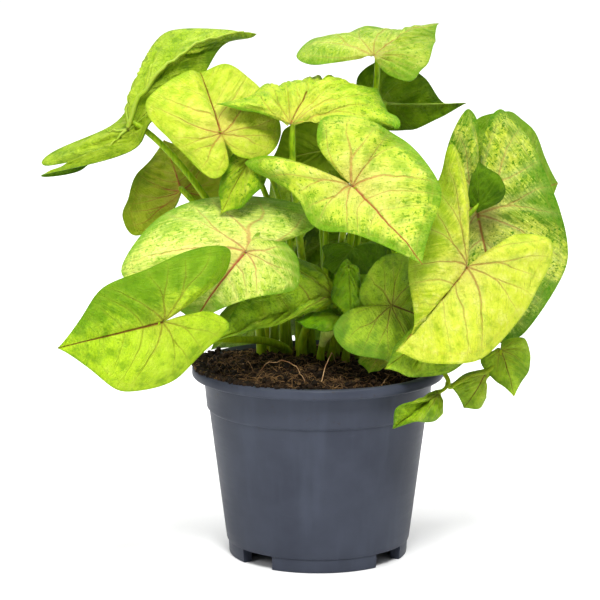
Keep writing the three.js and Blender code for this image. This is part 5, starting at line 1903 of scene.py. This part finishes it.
    def fibre(self, length: float, radius: float, lift: float) -> list[tuple[Vector, float]]:
        """One curved fibre lying on the soil.

        Args:
            length: Its length in millimetres.
            radius: Its radius in millimetres.
            lift: How high its middle stands off the soil, in millimetres.

        Returns:
            Its path with radii, in metres.
        """
        x, y = self.spot(self.fibre_share)
        turn = self.random.uniform(0, 2 * math.pi)
        curl = self.random.uniform(-0.5, 0.5)
        steps = self.fibre_steps
        path = []
        for k in range(steps + 1):
            t = k / steps
            inside = min(self.radius * self.fibre_edge / max(math.hypot(x, y), 1e-9), 1)
            x, y = x * inside, y * inside
            z = self.height(x, y) + 0.15 + lift * math.sin(math.pi * t)
            path.append((place(Vector((x, y, z))), radius * (1 - 0.5 * t) * MM))
            turn += curl + self.random.uniform(-0.25, 0.25)
            x += math.cos(turn) * length / steps
            y += math.sin(turn) * length / steps
        return path

    def fibres(self) -> bpy.types.Object:
        """Coir fibres, brown and straw coloured.

        Returns:
            The piece.
        """
        draw = self.random.uniform
        mesh = tubes([
            self.fibre(draw(*self.fibre_length), draw(*self.fibre_radius), draw(*self.fibre_lift))
            for _ in range(self.fibre_count)
        ], 0)
        mesh.materials.append(strand_material(COIR))
        return finish_piece("soil_coir", mesh)

    def roots(self) -> bpy.types.Object:
        """A few thin pale roots that arch over the soil.

        Returns:
            The piece.
        """
        paths = []
        for points in self.root_paths:
            path = []
            for k in range(self.root_steps + 1):
                share = k / self.root_steps
                spot = smooth_point(points, share * (len(points) - 1))
                spot.z += self.height(spot.x, spot.y) + 0.1
                path.append((place(spot), (self.root_radius - self.root_taper * share) * MM))
            paths.append(path)
        mesh = tubes(paths, 1)
        mesh.materials.append(strand_material(ROOT_SKIN))
        return finish_piece("soil_roots", mesh)

    def build(self) -> None:
        """Make the bed and what lies on it."""
        self.bed()
        self.crumbs()
        self.fibres()
        self.roots()


@dataclass(frozen=True)
class Runner:
    """The short stem that hangs over the rim with its three leaflets, and a side stem to the first of them.

    Radii are in millimetres, each at a stem's foot and at its tip.
    """

    leaflets: tuple[Leaf, ...]
    path: tuple[Point, ...]
    fork: tuple[Point, ...]
    dress: Dress
    stem_radii: Flat = (1.3, 0.9)
    fork_radii: Flat = (0.95, 0.8)
    steps: int = 5
    sharp_angle: float = math.radians(55)

    def stem(self, points: tuple[Point, ...], radii: Flat) -> list[tuple[Vector, float]]:
        """One stem through its points.

        Args:
            points: The points that it passes, in millimetres from the pot's axis.
            radii: Its radii at its foot and tip.

        Returns:
            Its path with radii, in metres.
        """
        foot, tip = radii
        last = self.steps * (len(points) - 1)
        return [(place(smooth_point(points, k / self.steps)), (foot + (tip - foot) * k / last) * MM)
                for k in range(last + 1)]

    def build(self) -> bpy.types.Object:
        """Make the runner's piece.

        Returns:
            The piece.
        """
        bm = bmesh.new()
        for leaf in self.leaflets:
            part = bmesh.new()
            grown = LeafPiece(leaf, self.dress)
            grown.blade_mesh(part)
            grown.add_tubes(part, grown.rib_paths(), 3)
            whole = mesh_of(part, "leaflet")
            bm.from_mesh(whole)
            bpy.data.meshes.remove(whole)
        stems = [self.stem(self.path, self.stem_radii), self.stem(self.fork, self.fork_radii)]
        LeafPiece.add_tubes(bm, stems, 2)
        mesh = mesh_of(bm, "runner", smooth=True)
        mesh.set_sharp_from_angle(angle=self.sharp_angle)
        for material in (
            leaf_material(self.dress.upper, Face.UPPER), leaf_material(self.dress.under, Face.UNDER),
            stalk_material(self.dress.stalk), rib_material(self.dress.under),
        ):
            mesh.materials.append(material)
        return finish_piece("runner_grown", mesh, ("runner",))


@dataclass(frozen=True)
class Lamp:
    """A square soft light: its place and aim in metres, its power in watts and its side in metres."""

    name: str
    spot: Point
    power: float
    size: float
    aim: Point = (0, 0, 0.12)


@dataclass(frozen=True)
class Studio:
    """The pale floor, the soft lights and the camera.

    The camera's place is in millimetres from the pot's axis. Its focal length is in pixels of a frame of
    frame_pixels, its sensor in millimetres.
    """

    camera_from_axis: Point = (-8.61, -1250.0, 350.68)
    pitch: float = math.radians(10.37)
    focal_pixels: float = 2682.6
    frame_pixels: float = 600
    sensor: float = 36.0
    floor_size: float = 14
    floor_tone: float = 0.88
    sky_strength: float = 0.36
    lamps: tuple[Lamp, ...] = (
        Lamp("ceiling_light", (0, 1.5, 3.0), 170, 6.0, (0, 1.5, 0)),
        Lamp("key_light", (0.2, -1.3, 1.9), 36, 0.6),
        Lamp("side_light", (-1.5, -0.9, 1.0), 8, 0.7),
    )

    def camera(self) -> None:
        """Set the camera where the photograph was taken from."""
        data = bpy.data.cameras.new("camera")
        data.sensor_width = self.sensor
        data.lens = self.focal_pixels / self.frame_pixels * self.sensor
        data.clip_end = 50
        camera = bpy.data.objects.new("camera", data)
        camera.location = place(Vector(self.camera_from_axis))
        camera.rotation_euler = (math.pi / 2 - self.pitch, 0, 0)
        bpy.context.scene.collection.objects.link(camera)
        bpy.context.scene.camera = camera

    def floor(self) -> None:
        """A plain white floor."""
        bm = bmesh.new()
        bmesh.ops.create_grid(bm, x_segments=1, y_segments=1, size=self.floor_size)
        mesh = mesh_of(bm, "floor")
        material, _, shader = new_material("floor_paint")
        shader.inputs["Base Color"].default_value = (*(self.floor_tone,) * 3, 1)
        shader.inputs["Roughness"].default_value = 0.9
        shader.inputs["Specular IOR Level"].default_value = 0.1
        mesh.materials.append(material)
        floor = bpy.data.objects.new("floor", mesh)
        bpy.context.scene.collection.objects.link(floor)

    @staticmethod
    def light(lamp: Lamp) -> None:
        """Hang one lamp.

        Args:
            lamp: What to hang.
        """
        data = bpy.data.lights.new(lamp.name, "AREA")
        data.energy = lamp.power
        data.size = lamp.size
        hung = bpy.data.objects.new(lamp.name, data)
        hung.location = lamp.spot
        hung.rotation_euler = (Vector(lamp.aim) - Vector(lamp.spot)).to_track_quat("-Z", "Y").to_euler()
        bpy.context.scene.collection.objects.link(hung)

    def build(self) -> None:
        """Make the whole studio."""
        self.camera()
        self.floor()
        world = bpy.data.worlds.new("studio")
        world.use_nodes = True
        sky = world.node_tree.nodes["Background"]
        sky.inputs["Color"].default_value = (1, 1, 1, 1)
        sky.inputs["Strength"].default_value = self.sky_strength
        bpy.context.scene.world = world
        bpy.context.scene.view_settings.view_transform = "Standard"
        bpy.context.scene.view_settings.look = "Medium High Contrast"
        for lamp in self.lamps:
            self.light(lamp)


def main() -> None:
    """Build the studio and every piece in order."""
    logging.basicConfig(level=logging.INFO, format="%(name)s %(message)s")
    Studio().build()
    pot = Pot(PlasticLook())
    pot.build()
    Soil(pot, PeatLook()).build()
    for leaf in LEAVES:
        LeafPiece(leaf, DRESSES[leaf.name]).build()
    Runner(LEAFLETS, RUNNER_PATH, RUNNER_FORK, RUNNER_DRESS).build()


if __name__ == "__main__":
    main()
